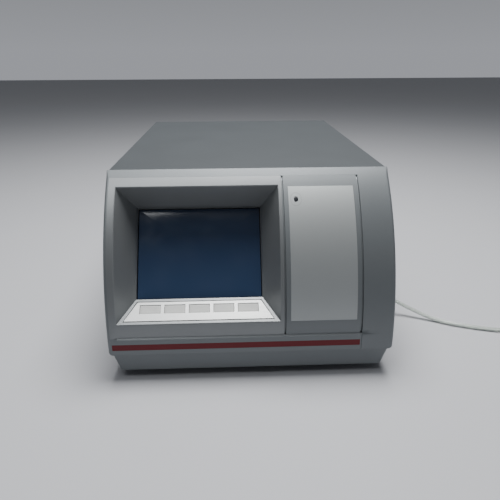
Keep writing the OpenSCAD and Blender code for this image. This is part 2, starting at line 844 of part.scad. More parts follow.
module key_board() color(c_board) on_ledge() {
    half = key_pitch * key_count / 2 + 1;
    top = switch_top - switch_h;
    translate([-half, key_pos - key_board_low, top - board_t])
        cube([2 * half, key_board_h, board_t]);
    // Two end posts hold the board under the ledge
    for (s = [-1, 1]) translate([s * (half - post_r), key_pos - key_board_low + post_r, top])
        cylinder(h = -recess_t - top, r = post_r);
}

module screen_sheet(lap, far, t)
    on_screen() translate([-screen_w / 2 - lap, -min(lap, rim_bottom), -far - t])
        cube([screen_w + 2 * lap, screen_h + lap + min(lap, rim_bottom), t]);

module touch_glass() color([0.08, 0.12, 0.20]) screen_sheet(glass_lap, rim_t, glass_t);

module lcd_module() color([0.55, 0.57, 0.60])
    screen_sheet(glass_lap, rim_t + glass_t + lcd_gap, lcd_t);

module lcd_frame() color(c_steel) {
    back = rim_t + glass_t + lcd_gap + lcd_t + lcd_gap;
    half = screen_w / 2 + glass_lap + fit;
    difference() {
        on_screen() translate([-half - lcd_back_t, -rim_bottom, -back - lcd_back_t])
            cube([2 * (half + lcd_back_t), screen_h + rim_bottom + glass_lap + fit
                + lcd_back_t, back + lcd_back_t - rim_t]);
        on_screen() translate([-half, -rim_bottom - eps, -back])
            cube([2 * half, screen_h + rim_bottom + glass_lap + fit + eps, back]);
        on_screen() translate([-screen_w / 4, screen_h / 4, -back - lcd_back_t - eps])
            cube([screen_w / 2, screen_h / 2, 3 * eps]);
    }
}

// ---------- Right-hand panel ----------

module right_panel() color(c_shell) difference() {
    union() {
        face_band(panel_x0, panel_x1, inserts_b, panel_z1, 0, insert_back);
        face_band(seam_x + fit / 2, opening_x1 - fit, inserts_b, panel_z1, groove_depth,
            insert_back);
    }
    border_cut(seam_x - eps, opening_x1 + eps, inserts_b);
    face_band(label_x0 - trim_gap, label_x0 + label_w + trim_gap, label_z0 - trim_gap,
        label_z1 + trim_gap, -eps, label_t + trim_gap);
    lamp_bore(lamp_r + trim_gap);
}

// The lamp's frame: z out of the front surface
module on_lamp()
    translate([lamp_x, face_y(lamp_z), lamp_z]) rotate([90 - lamp_slope, 0, 0]) children();

module lamp_bore(r) on_lamp() translate([0, 0, -bezel_t - eps])
    cylinder(h = bezel_t + 2 * eps, r = r);

module label_plate() color([0.80, 0.81, 0.82]) difference() {
    face_band(label_x0, label_x0 + label_w, label_z0, label_z1, 0, label_t);
    lamp_bore(lamp_r + trim_gap);
}

module status_lamp() color(c_black) on_lamp() translate([0, 0, -lamp_len]) union() {
    cylinder(h = lamp_len, r = lamp_r);
    cylinder(h = lamp_flange_t, r = lamp_r + lamp_flange);
}

module accent_strip() color([0.62, 0.08, 0.12])
    face_band(strip_x0, strip_x1, strip_z0, strip_z0 + strip_h, 0, strip_t);

// ---------- Inside, front ----------

module front_bulkhead() color(c_steel) {
    half = tray_half - tray_t - fit;
    difference() {
        union() {
            block(-half, half, bulkhead_y, bulkhead_y + bulkhead_t, floor_z, bulkhead_z1);
            block(-half, half, bulkhead_y, bulkhead_y + bulkhead_foot, floor_z,
                floor_z + bulkhead_t);
        }
        // Cable openings behind the keys and behind the right-hand panel
        for (p = [[display_mid, screen_z], [cell_x, display_board_z + cable_hole]])
            block(p[0] - cable_hole / 2, p[0] + cable_hole / 2, bulkhead_y - eps,
                bulkhead_y + bulkhead_t + eps, p[1] - cable_hole / 2, p[1] + cable_hole / 4);
    }
}

module display_board() color(c_board) {
    y0 = bulkhead_y + bulkhead_t;
    y1 = y0 + board_standoff;
    half = display_board_w / 2;
    block(display_mid - half, display_mid + half, y1, y1 + board_t, display_board_z,
        display_board_z + display_board_h);
    for (a = [-1, 1], z = [board_edge, display_board_h - board_edge])
        y_rod(y0, y1, display_mid + a * (half - board_edge), display_board_z + z, pillar_r);
    translate([display_mid - chip_w / 2, y1 + board_t, display_board_z + chip_w])
        cube([chip_w, chip_h, chip_w]);
}

// ---------- Electronics ----------

module board_pillars() color(c_steel)
    for (x = [board_edge, board_w - board_edge], y = [board_edge, board_len - board_edge])
        z_rod(floor_z, board_z, board_x0 + x, board_y1 - y, pillar_r);

module main_board() color(c_board) {
    block(board_x0, board_x0 + board_w, board_y1 - board_len, board_y1, board_z, ports_z);
    // Processor, memory and a row of cable sockets
    translate([chip_x, chip_y, ports_z]) cube([chip_w, chip_w, chip_h]);
    for (k = [0:3]) translate([net_x + k * memory_pitch, memory_y, ports_z])
        cube([memory_w, memory_len, memory_h]);
    for (k = [0:2]) translate([board_x0 + plug_w, plug_y + k * plug_pitch, ports_z])
        cube([plug_w, plug_len, plug_h]);
}

// A rectangular socket on the board, open to the rear
module board_socket(x, w, h, wall) difference() {
    block(x - w / 2, x + w / 2, board_y1 - socket_back, rear_face + port_proud, ports_z,
        ports_z + h);
    block(x - w / 2 + wall, x + w / 2 - wall, board_y1 - socket_open, rear_y, ports_z + wall,
        ports_z + h - wall);
}

module data_ports() color([0.8, 0.8, 0.82]) {
    board_socket(net_x, net_w, net_h, net_wall);
    for (k = [0, 1]) board_socket(usb_x + k * usb_pitch, usb_w, usb_h, usb_wall);
}

module serial_port() color([0.75, 0.75, 0.78]) {
    half = serial_w / 2;
    z0 = ports_z + serial_lip;
    z1 = ports_z + serial_h - serial_lip;
    well_y = rear_face - serial_lip;
    block(serial_x - half, serial_x + half, board_y1 - socket_back, rear_inner, ports_z,
        ports_z + serial_h);
    difference() {
        block(serial_x - half, serial_x + half, rear_inner, rear_face + serial_proud, z0, z1);
        block(serial_x - half + serial_wall, serial_x + half - serial_wall, well_y, rear_y,
            z0 + serial_wall, z1 - serial_wall);
    }
    // Two rows of contacts, five and four
    for (row = [[5, 1], [4, -1]], k = [1:row[0]])
        y_rod(well_y - contact_r, rear_face + serial_proud - 2 * contact_r,
            serial_x + (k - (row[0] + 1) / 2) * contact_pitch,
            (z0 + z1) / 2 + row[1] * contact_pitch / 2, contact_r);
}

module power_supply() color(c_steel) {
    x1 = supply_x0 + supply_w;
    y0 = supply_y1 - supply_len;
    z1 = floor_z + supply_h;
    difference() {
        block(supply_x0, x1, y0, supply_y1, floor_z, z1);
        block(supply_x0 + supply_wall, x1 - supply_wall, y0 + supply_wall,
            supply_y1 - supply_wall, floor_z + supply_wall, z1 - supply_wall);
        for (i = [1:supply_vents[0]], j = [1:supply_vents[1]])
            z_rod(z1 - supply_wall - eps, z1 + eps,
                (supply_x0 + x1) / 2 + (i - (supply_vents[0] + 1) / 2) * supply_vent_pitch,
                (y0 + supply_y1) / 2 + (j - (supply_vents[1] + 1) / 2) * supply_vent_pitch,
                supply_vent_r);
    }
}

// ---------- Rear fittings ----------

module mains_inlet() color(c_black) difference() {
    z1 = mains_z0 + mains_h;
    front = rear_face + mains_flange_t;
    margin = (mains_h - mains_body_h) / 2;
    union() {
        block(-mains_x - mains_w / 2, -mains_x + mains_w / 2, rear_face, front, mains_z0, z1);
        block(-mains_x - mains_body_w / 2, -mains_x + mains_body_w / 2, front - mains_depth,
            rear_face + eps, mains_z0 + margin, z1 - margin);
    }
    block(-mains_x - socket_w / 2, -mains_x + socket_w / 2, front - socket_depth, rear_y,
        socket_z - socket_h / 2, socket_z + socket_h / 2);
    block(-mains_x - drawer_w / 2 - fit, -mains_x + drawer_w / 2 + fit,
        front - drawer_len - 2 * eps, rear_y, drawer_z - drawer_h / 2 - fit,
        drawer_z + drawer_h / 2 + fit);
    block(-mains_x - rocker_window_w / 2, -mains_x + rocker_window_w / 2,
        front - rocker_room, rear_y, rocker_z - rocker_window_h / 2,
        rocker_z + rocker_window_h / 2);
    x_rod(-mains_x - rocker_w / 2 - rocker_pin_len - fit,
        -mains_x + rocker_w / 2 + rocker_pin_len + fit, rocker_y, rocker_z,
        rocker_pin_r + run_fit);
}

// Three blades at the back of the socket, the middle one set higher
module inlet_pins() color([0.82, 0.74, 0.45])
    for (p = [[-pin_pitch, -pin_w], [0, pin_w], [pin_pitch, -pin_w]])
        translate([-mains_x + p[0] - pin_w / 2, rear_face + mains_flange_t - socket_depth,
            socket_z + p[1] - pin_h / 2])
            cube([pin_w, pin_len, pin_h]);

module fuse_drawer() color([0.15, 0.15, 0.16]) difference() {
    y1 = rear_face + mains_flange_t;
    front_half = drawer_w / 2 + fit + drawer_front_lap;
    front_high = drawer_h / 2 + fit + drawer_front_lap / 2;
    union() {
        block(-mains_x - drawer_w / 2, -mains_x + drawer_w / 2, y1 - drawer_len, y1 + fit,
            drawer_z - drawer_h / 2, drawer_z + drawer_h / 2);
        block(-mains_x - front_half, -mains_x + front_half, y1 + fit,
            y1 + fit + drawer_front_t, drawer_z - front_high, drawer_z + front_high);
    }
    // Two open bays for the fuses
    for (s = [-1, 1]) translate([-mains_x + s * fuse_pitch / 2, 0, 0])
        block(-fuse_bay_w / 2, fuse_bay_w / 2, y1 - drawer_len + drawer_wall,
            y1 - drawer_wall, drawer_z - drawer_h / 2 + drawer_wall, drawer_z + drawer_h);
}

// The rocker stands at off; it turns about its pins, which run in the inlet's sides
module power_rocker() color([0.12, 0.12, 0.13])
    translate([-mains_x, rocker_y, rocker_z]) rotate([rocker_swing / 2, 0, 0]) {
        x_extrude(-rocker_w / 2, rocker_w / 2) polygon([
            [3, 0], [5.2, rocker_half], [1, rocker_half], [-5, 7], [-5, -7],
            [1, -rocker_half], [5.2, -rocker_half]]);
        x_rod(-rocker_w / 2 - rocker_pin_len, rocker_w / 2 + rocker_pin_len, 0, 0,
            rocker_pin_r);
    }

module fan_corners() for (a = [-1, 1], b = [-1, 1])
    translate([fan_x + a * fan_hole, 0, fan_z + b * fan_hole]) children();

module fan_frame() color(c_black) {
    y0 = rear_inner - fan_t;
    difference() {
        block(fan_x - fan_size / 2, fan_x + fan_size / 2, y0, rear_inner,
            fan_z - fan_size / 2, fan_z + fan_size / 2);
        y_rod(y0 - eps, rear_inner + eps, fan_x, fan_z, fan_bore_r);
        fan_corners() y_rod(y0 - eps, rear_inner + eps, 0, 0, screw_hole_r);
    }
    // Motor plate on four arms, and the axle
    y_rod(y0, y0 + fan_plate_t, fan_x, fan_z, fan_hub_r);
    for (a = [45, 135]) translate([fan_x, y0, fan_z]) rotate([0, a, 0])
        translate([-fan_bore_r - 1, 0, -fan_arm_w / 2])
            cube([2 * fan_bore_r + 2, fan_arm_t, fan_arm_w]);
    y_rod(y0 + fan_arm_t, rear_inner - fan_plate_t, fan_x, fan_z, fan_axle_r);
}

module fan_rotor() color([0.14, 0.14, 0.15]) {
    y0 = rear_inner - fan_t + fan_plate_t + 0.5;
    y1 = rear_inner - fan_plate_t + 1;
    difference() {
        union() {
            y_rod(y0, y1, fan_x, fan_z, fan_hub_r);
            intersection() {
                y_rod(y0, y1, fan_x, fan_z, fan_bore_r - fan_tip_gap);
                for (k = [1:fan_blades]) translate([fan_x, (y0 + y1) / 2, fan_z])
                    rotate([0, k * 360 / fan_blades, 0]) translate([fan_hub_r - 1, 0, 0])
                        rotate([blade_pitch, 0, 0])
                            translate([0, -blade_chord / 2, -blade_t / 2])
                                cube([fan_size / 2, blade_chord, blade_t]);
            }
        }
        y_rod(y0 - eps, rear_inner - fan_plate_t + run_fit, fan_x, fan_z,
            fan_axle_r + run_fit);
    }
}

module fan_guard() color(c_steel) difference() {
    diagonal = fan_hole * sqrt(2);
    union() {
        for (r = guard_rings) translate([fan_x, rear_face + guard_wire, fan_z])
            rotate([90, 0, 0]) rotate_extrude() translate([r, 0]) circle(r = guard_wire);
        for (a = [45, 135]) translate([fan_x, rear_face, fan_z]) rotate([0, a, 0])
            translate([-diagonal, 0, -guard_wire])
                cube([2 * diagonal, 2 * guard_wire, 2 * guard_wire]);
        fan_corners() y_rod(rear_face, rear_face + 2 * guard_wire, 0, 0, guard_ear_r);
    }
    fan_corners() y_rod(rear_face - eps, rear_face + 2 * guard_wire + eps, 0, 0,
        screw_hole_r);
}

// ---------- Measuring cell ----------

module heat_sink() color([0.6, 0.62, 0.65]) {
    x0 = cell_x - sink_w / 2;
    y0 = block_y0 - sink_over;
    y1 = block_y0 + block_len + sink_over;
    block(x0, x0 + sink_w, y0, y1, sink_z1 - sink_base_t, sink_z1);
    for (k = [0:sink_fins - 1])
        translate([x0 + k * (sink_w - fin_t) / (sink_fins - 1), y0, floor_z])
            cube([fin_t, y1 - y0, sink_z1 - sink_base_t / 2 - floor_z]);
}

module peltier_modules() color([0.93, 0.93, 0.9]) for (k = [0, 1]) {
    y = block_y0 + block_len * (1 + 2 * k) / 4;
    block(cell_x - peltier_w / 2, cell_x + peltier_w / 2, y - peltier_w / 2,
        y + peltier_w / 2, sink_z1, block_z0);
}

module cell_block() color([0.78, 0.79, 0.8]) difference() {
    block(cell_x - block_w / 2, cell_x + block_w / 2, block_y0, block_y0 + block_len,
        block_z0, block_z0 + block_w);
    y_rod(block_y0 - eps, block_y0 + jacket_len + fit, cell_x, cell_z, jacket_r + fit);
    z_rod(cell_z - fit, block_z0 + block_w + eps, probe_x, probe_y, probe_r + run_fit);
}

module cell_cover() color([0.25, 0.26, 0.27]) difference() {
    w = block_w / 2 + fit;
    y1 = block_y0 + block_len;
    block(cell_x - w - foam_t, cell_x + w + foam_t, block_y0 - foam_front, y1 + foam_back,
        sink_z1, block_z0 + block_w + foam_t);
    block(cell_x - w, cell_x + w, block_y0 - foam_front - eps, y1 + fit, sink_z1 - eps,
        block_z0 + block_w + fit);
    z_rod(block_z0 + block_w, block_z0 + block_w + foam_t + eps, probe_x, probe_y,
        probe_r + fit);
}

module cell_head() color([0.7, 0.71, 0.73]) difference() {
    block(cell_x - cell_head_w / 2, cell_x + cell_head_w / 2, block_y0 - cell_head_t,
        block_y0, cell_z - cell_head_w / 2, cell_z + cell_head_w / 2);
    for (s = [-1, 1]) y_rod(block_y0 - cell_head_t - eps, block_y0 + eps,
        cell_x + s * utube_pitch / 2, cell_z, utube_r + run_fit);
}

module glass_jacket() color([0.8, 0.9, 0.95, 0.4]) difference() {
    y_rod(block_y0, block_y0 + jacket_len, cell_x, cell_z, jacket_r);
    y_rod(block_y0 - eps, block_y0 + jacket_len - jacket_t, cell_x, cell_z,
        jacket_r - jacket_t);
}

// Glass oscillator: two legs joined by a half ring, with the sample's bore inside
module utube_shape(r) {
    for (s = [-1, 1])
        y_rod(leg_y0, leg_y0 + utube_len, cell_x + s * utube_pitch / 2, cell_z, r);
    translate([cell_x, leg_y0 + utube_len, cell_z])
        rotate_extrude(angle = 180) translate([utube_pitch / 2, 0]) circle(r = r);
}
module u_tube() color([0.85, 0.93, 0.97, 0.5]) difference() {
    utube_shape(utube_r);
    utube_shape(utube_r / 2);
}

module temp_probe() color(c_steel)
    z_rod(cell_z, block_z0 + block_w + foam_t + probe_edge, probe_x, probe_y, probe_r);

// ---------- Sample path ----------

module port_bracket() color(c_steel) difference() {
    union() {
        block(bracket_x - bracket_t, bracket_x, port_y - bracket_w / 2,
            port_y + bracket_w / 2, floor_z, floor_z + bracket_h);
        block(bracket_x - bracket_foot, bracket_x, port_y - bracket_w / 2,
            port_y + bracket_w / 2, floor_z, floor_z + bracket_t);
    }
    for (z = [waste_z, fill_z])
        x_rod(bracket_x - bracket_t - eps, bracket_x + eps, port_y, z, stem_r + run_fit);
}

module port_adapter(z) color([0.85, 0.86, 0.88]) difference() {
    union() {
        x_rod(bracket_x, port_face_x, port_y, z, collar_r);
        x_rod(stem_x0, bracket_x, port_y, z, stem_r);
    }
    x_rod(port_face_x - port_depth, port_face_x + eps, port_y, z, port_r);
    x_rod(stem_x0 - eps, port_face_x, port_y, z, channel_r);
}
module inlet_adapter() port_adapter(fill_z);
module outlet_adapter() port_adapter(waste_z);

module adapter_nuts() color(c_steel) for (z = [waste_z, fill_z]) difference() {
    translate([bracket_x - bracket_t - nut_t, port_y, z]) rotate([0, 90, 0])
        cylinder(h = nut_t, r = collar_r, $fn = 6);
    x_rod(bracket_x - bracket_t - nut_t - eps, bracket_x, port_y, z, stem_r + run_fit);
}

// Inner tubes from the ports to the legs of the U-tube: straight out of the port, across in
// two bends, and straight into the leg
function fill_route(z, side) =
    let (x0 = stem_x0 - tube_gap, x1 = cell_x + side * utube_pitch / 2, across = x0 - x1,
        rise = cell_z - z)
    [[x0, port_y, z], [x0 - 2 * tube_d, port_y, z],
        [x0 - 0.35 * across, port_y - tube_d / 3, z + 0.12 * rise],
        [x0 - 0.65 * across, port_y - tube_d, z + 0.45 * rise],
        [x1 + 2.3 * tube_d, port_y - 1.7 * tube_d, z + 0.85 * rise],
        [x1 + tube_d / 2, port_y - tube_d / 3, z + 0.98 * rise],
        [x1, leg_y0 - 2 * tube_d, cell_z], [x1, leg_y0 - tube_gap, cell_z]];
module fill_tubes() color([0.9, 0.92, 0.93]) {
    sweep(smooth(fill_route(fill_z, 1), 4), tube_d, 8, [0, 0, 1]);
    sweep(smooth(fill_route(waste_z, -1), 4), tube_d, 8, [0, 0, 1]);
}

module air_pump() color(c_black) {
    motor_x = pump_x - pump_w / 2 + pump_motor_r + fit;
    translate([pump_x - pump_w / 2, pump_y - pump_len / 2, floor_z])
        cube([pump_w, pump_len, pump_h]);
    z_rod(floor_z + pump_h - eps, floor_z + pump_h + pump_motor_h, motor_x, pump_y,
        pump_motor_r);
    y_rod(pump_y + pump_len / 2 - eps, pump_y + pump_len / 2 + spout_len,
        pump_x + pump_w / 2 - 3 * spout_r, floor_z + pump_h / 2, spout_r);
}

module drying_cartridge() color([0.85, 0.6, 0.3]) {
    z = floor_z + cartridge_cap_r;
    x0 = cell_x - cartridge_len / 2;
    x1 = cell_x + cartridge_len / 2;
    x_rod(x0, x1, cartridge_y, z, cartridge_r);
    for (x = [x0, x1 - cartridge_cap])
        x_rod(x, x + cartridge_cap, cartridge_y, z, cartridge_cap_r);
}

// ---------- Waste hose ----------

module hose_connector() color([0.9, 0.9, 0.88]) {
    x_rod(port_face_x - connector_plug, port_face_x + eps, port_y, waste_z, port_r - run_fit);
    x_rod(port_face_x, port_face_x + connector_grip, port_y, waste_z, connector_r);
    x_rod(port_face_x, connector_x, port_y, waste_z, (connector_r + hose_d / 2) / 2);
}

module waste_hose() color([0.80, 0.82, 0.80])
    sweep(smooth(hose_route, hose_steps), hose_d, hose_sides, [0, 0, 1]);

// Coil: the turns spiral in on the lower layer, climb, and spiral out on the upper one
coil_sweep = 360 * coil_turns;
function coil_radius(a) = coil_r - coil_pitch * min(a, 2 * coil_sweep - a) / 360;
function coil_lift(a) = coil_pitch * min(1, max(0, (a - coil_sweep + coil_climb)
    / (2 * coil_climb)));
function coil_point(a) = coil_centre
    + [coil_radius(a) * sin(a), coil_radius(a) * cos(a), coil_lift(a)];
coil_points = concat(
    [coil_point(0) - [hose_d, 0, 0], coil_point(0) - [hose_d / 2, 0, 0]],
    [for (i = [0:2 * coil_turns * coil_rings]) coil_point(i * 360 / coil_rings)],
    [coil_point(2 * coil_sweep) + [hose_d, 0, 0]]);
coil_gaps = [for (i = [0:len(coil_points) - 1], j = [i + 8:1:len(coil_points) - 1])
    norm(coil_points[i] - coil_points[j]) - hose_d];

module hose_coil() color([0.80, 0.82, 0.80]) {
    echo(least_gap_of_the_coil = min(coil_gaps));
    sweep(coil_points, hose_d, coil_sides, [0, 0, 1]);
}

module hose_tie() color(c_black) {
    mid = coil_r - coil_pitch;
    half = coil_pitch / 2 + hose_d / 2 + fit;
    low = coil_centre[2] - hose_d / 2;
    high = low + coil_pitch + hose_d + fit;
    translate([coil_centre[0], coil_centre[1] - mid, 0]) x_extrude(-tie_w / 2, tie_w / 2)
        difference() {
            translate([-half - tie_t, 0]) square([2 * (half + tie_t), high + tie_t]);
            translate([-half, tie_t]) square([2 * half, high - tie_t]);
        }
}

// ---------- Assembly ----------

rubber_feet();
foot_screws();
base_tray();
hood();
hood_screws();
rear_panel();
rear_screws();
front_bezel();
chin_cover();
display_insert();
right_panel();
label_plate();
status_lamp();
accent_strip();
key_plate();
key_1();
key_2();
key_3();
key_4();
key_5();
key_board();
key_switches();
touch_glass();
lcd_module();
lcd_frame();
front_bulkhead();
display_board();
main_board();
board_pillars();
power_supply();
mains_inlet();
inlet_pins();
fuse_drawer();
power_rocker();
fan_frame();
fan_rotor();
fan_guard();
serial_port();
data_ports();
heat_sink();
peltier_modules();
cell_block();
cell_cover();
cell_head();
glass_jacket();
u_tube();
temp_probe();
port_bracket();
inlet_adapter();
outlet_adapter();
adapter_nuts();
fill_tubes();
air_pump();
drying_cartridge();
hose_connector();
waste_hose();
hose_coil();
hose_tie();
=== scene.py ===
"""Looks of a benchtop density meter, built round its construction. Metres, +Z up."""

import json
import math

import bmesh
import bpy
import numpy as np
from bpy.props import FloatProperty, FloatVectorProperty, IntProperty, PointerProperty
from bpy.types import Operator, Panel, PropertyGroup
from mathutils import Matrix, Vector

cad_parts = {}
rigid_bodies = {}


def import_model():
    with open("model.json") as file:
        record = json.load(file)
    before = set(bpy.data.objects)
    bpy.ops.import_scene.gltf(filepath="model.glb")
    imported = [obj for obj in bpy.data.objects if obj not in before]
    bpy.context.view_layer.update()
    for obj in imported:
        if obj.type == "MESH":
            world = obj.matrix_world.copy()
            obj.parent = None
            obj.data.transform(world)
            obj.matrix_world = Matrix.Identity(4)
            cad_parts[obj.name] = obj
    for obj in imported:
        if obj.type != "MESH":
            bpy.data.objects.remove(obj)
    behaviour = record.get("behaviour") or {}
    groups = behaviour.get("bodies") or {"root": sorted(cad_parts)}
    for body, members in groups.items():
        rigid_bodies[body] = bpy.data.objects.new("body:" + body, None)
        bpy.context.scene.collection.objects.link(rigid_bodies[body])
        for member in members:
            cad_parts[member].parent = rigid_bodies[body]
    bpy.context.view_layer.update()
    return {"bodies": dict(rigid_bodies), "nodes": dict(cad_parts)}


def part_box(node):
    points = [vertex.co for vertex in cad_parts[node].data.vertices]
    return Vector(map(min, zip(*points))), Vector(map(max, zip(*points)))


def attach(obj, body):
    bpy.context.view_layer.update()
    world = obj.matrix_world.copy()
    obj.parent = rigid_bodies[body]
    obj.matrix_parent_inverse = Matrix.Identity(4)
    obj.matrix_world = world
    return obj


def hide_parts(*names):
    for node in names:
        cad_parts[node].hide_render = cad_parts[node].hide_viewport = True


bl_info = {
    "name": "Benchtop Density Meter",
    "version": (1, 0, 0),
    "blender": (4, 5, 0),
    "location": "3D View > Sidebar > Density Meter",
    "description": "Builds the looks of a benchtop density meter round its construction",
    "category": "Object",
}

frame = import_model()
BEZEL_LO, BEZEL_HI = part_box("front_bezel")
HOOD_LO, HOOD_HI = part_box("hood")
INSERT_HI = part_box("display_insert")[1]
LABEL_LO, LABEL_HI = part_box("label_plate")
STRIP_LO, STRIP_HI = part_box("accent_strip")
CHIN_LO, CHIN_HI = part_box("chin_cover")
PLATE_LO, PLATE_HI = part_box("key_plate")
PANEL_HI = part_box("right_panel")[1]


# ---------- Sizes and colours ----------

def metres(name, text, default):
    return FloatProperty(name=name, description=text, default=default, unit="LENGTH")


def angle(name, text, degrees):
    return FloatProperty(
        name=name, description=text, default=math.radians(degrees), subtype="ANGLE")


def colour(name, text, default):
    return FloatVectorProperty(
        name=name, description=text, default=default, size=3, subtype="COLOR")


class CabinetSizes(PropertyGroup):
    """The cabinet and its convex front."""
    width: metres("Width", "Width over the front bezel", BEZEL_HI.x - BEZEL_LO.x)
    front: metres("Nose", "Place of the bezel's nose along Y", BEZEL_LO.y)
    rear: metres("Bezel's rear edge", "Where the bezel meets the hood along Y", HOOD_LO.y)
    height: metres("Height", "Top of the hood", HOOD_HI.z)
    nose: metres("Nose height", "Height of the bezel's bottom edge", BEZEL_LO.z)
    corner: metres("Corner", "Radius between the front and the sides", 0.003)
    nose_round: metres("Nose rounding", "Rounding of the bezel's lower front edge", 0.0008)
    foot_corner: metres("Lower corner", "Radius of the bezel's lower outer corners", 0.0035)
    wall: metres("Wall", "Thickness of the moulded shells", 0.0024)
    edge: metres("Edge", "Rounding of the moulded edges", 0.00012)
    chin_setback: metres("Chin setback", "How far the chin lies behind the nose", 0.003)
    chin_fall: metres("Chin fall", "How far the chin leans back at its foot", 0.002)
    chin_taper: metres("Chin taper", "How far its sides draw in at its foot", 0.007)
    chin_corner: metres("Chin corner", "Radius of the chin's corners", 0.006)


class FrontSizes(PropertyGroup):
    """The openings of the front and the panels set into them."""
    opening_left: metres("Left edge", "Left edge of the front opening", -0.1615)
    opening_right: metres("Right edge", "Right edge of the front opening", 0.1277)
    bottom: metres("Bottom", "Lower edge of the opening", 0.055)
    insert_top: metres("Insert top", "Upper edge of the display insert", INSERT_HI.z)
    panel_top: metres("Panel top", "Upper edge of the right-hand panel", PANEL_HI.z)
    seam: metres("Seam", "Seam between the insert and the panel", 0.0385)
    groove: metres("Groove", "Width of the grooves along the seams", 0.002)
    groove_depth: metres("Groove depth", "Depth of the grooves", 0.0012)
    panel_right: metres("Panel right", "Right edge of the right-hand panel", 0.1257)
    fall: metres("Border fall", "How far the lower border falls back", 0.0018)
    fall_left: metres(
        "Fall's left end", "Where the lower border starts to fall back", -0.1546)
    step: metres("Step", "Sloped edge of the bezel under the border", 0.0016)
    crease: metres("Crease", "Width of the fine groove below the right-hand seam", 0.0007)
    crease_depth: metres("Crease depth", "Depth of that fine groove", 0.0006)
    gap: metres("Gap", "Gap round the inserts and trims", 0.00006)
    depth: metres("Insert depth", "Depth of the inserts' edges", 0.0029)


class DisplaySizes(PropertyGroup):
    """The display recess, its screen and its ledge."""
    middle: metres("Middle", "Middle of the recess along X", -0.060)
    screen_width: metres("Screen width", "Width of the visible screen", 0.1475)
    screen_height: metres("Screen height", "Height of the visible screen", 0.110)
    screen_tilt: angle("Screen tilt", "Tilt of the screen back from the vertical", 34)
    recess_width: metres("Recess width", "Width of the recess at the front surface", 0.187)
    lip: metres("Lip", "Height of the ledge's front edge", 0.072)
    top: metres("Top", "Height of the recess's upper edge", 0.2133)
    ledge: metres("Ledge", "Length of the sloped ledge", 0.033)
    ledge_tilt: angle("Ledge tilt", "Slope of the ledge", 32)
    rim: metres("Rim", "Depth of the glass behind the screen's opening", 0.003)


class KeySizes(PropertyGroup):
    """The key plate and its five keys."""
    count: IntProperty(name="Keys", description="Number of soft keys", default=5)
    pitch: metres("Pitch", "Spacing of the keys", 0.0283)
    width: metres("Window width", "Width of a key's window", 0.0241)
    height: metres("Window height", "Height of a key's window", 0.0113)
    place: metres("Place", "Middle of the keys up the ledge", 0.0195)
    plate_bottom: metres("Plate bottom", "Lower edge of the plate up the ledge", 0.0045)
    plate_top: metres("Plate top", "Upper edge of the plate up the ledge", 0.0288)
    plate_half_top: metres("Half top", "Half width of the plate's upper edge", 0.0716)
    plate: metres("Plate", "Thickness of the key plate", 0.0015)
    pocket: metres("Pocket", "Depth of the plate's pocket", 0.0012)
    groove: metres("Groove", "Groove round the plate", 0.0009)
    sink: metres("Sink", "How far a key lies below the plate", 0.0007)
    gap: metres("Gap", "Gap between a key and its window", 0.0003)
    corner: metres("Key corner", "Corner radius of a key", 0.0007)
    depth: metres("Key depth", "Depth of a key's foot below the ledge's face", 0.0052)
    skirt: metres("Skirt", "Height of a key's foot below its flange", 0.0009)
    flange: metres("Flange", "How far the flange stands out", 0.0008)
    flange_height: metres("Flange height", "Thickness of the flange", 0.001)


class LampSizes(PropertyGroup):
    """The status lamp on the label plate."""
    x: metres("Place across", "Middle of the lamp along X", LABEL_LO.x + 0.0087)
    z: metres("Height", "Height of the lamp", LABEL_HI.z - 0.0124)
    radius: metres("Radius", "Radius of the lamp", 0.0025)
    ring: metres("Ring", "Radius of the faint ring round it", 0.0063)


class HoseSizes(PropertyGroup):
    """The clear waste hose."""
    diameter: metres("Diameter", "Outer diameter", 0.0055)
    bore: metres("Bore", "Inner diameter", 0.0035)
    coil_radius: metres("Coil radius", "Radius of the coil's outer turn", 0.0362)
    coil_pitch: metres("Coil pitch", "Distance between neighbouring turns", 0.0062)
    coil_turns: IntProperty(
        name="Coil turns", description="Turns in each of the coil's two layers",
        default=2)


class FinishColours(PropertyGroup):
    """Colours that a user would change."""
    shell: colour(
        "Bezel", "Metallic plastic of the bezel and the inserts", (0.148, 0.161, 0.168))
    hood: colour("Hood", "Paint of the hood", (0.042, 0.048, 0.052))
    recess: colour("Recess", "Plastic of the display recess", (0.20, 0.21, 0.215))
    key: colour("Keys", "Soft keys", (0.46, 0.465, 0.45))
    plate: colour("Key plate", "Bright key plate", (0.62, 0.63, 0.625))
    label: colour("Label", "Satin label plate", (0.37, 0.388, 0.388))
    strip: colour("Strip", "Strip above the chin", (0.13, 0.008, 0.013))
    screen: colour("Screen", "Dark screen", (0.012, 0.024, 0.052))


class StudioSettings(PropertyGroup):
    """Camera and lights."""
    camera: FloatVectorProperty(
        name="Camera", description="Place of the camera",
        default=(-0.0207, -0.7310, 0.3599), size=3, subtype="TRANSLATION")
    yaw: angle("Yaw", "Turn towards +X", 2.226)
    pitch: angle("Pitch", "Tilt down", 22.248)
    roll: angle("Roll", "Turn about the view", 0.225)
    lens: FloatProperty(
        name="Lens", description="Focal length in millimetres", default=35.42)


def settings(name):
    return getattr(bpy.context.scene, "meter_" + name)


# ---------- Surfaces ----------

def coords(*parts):
    """Points from their coordinates, each of them a value or an array."""
    return np.stack(np.broadcast_arrays(*parts), axis=-1)


def face_radius():
    """Radius of the front's arc: (depth^2 + rise^2) / (2 depth)."""
    c = settings("cabinet")
    depth, rise = c.rear - c.front, c.height - c.nose
    return (depth * depth + rise * rise) / (2 * depth)


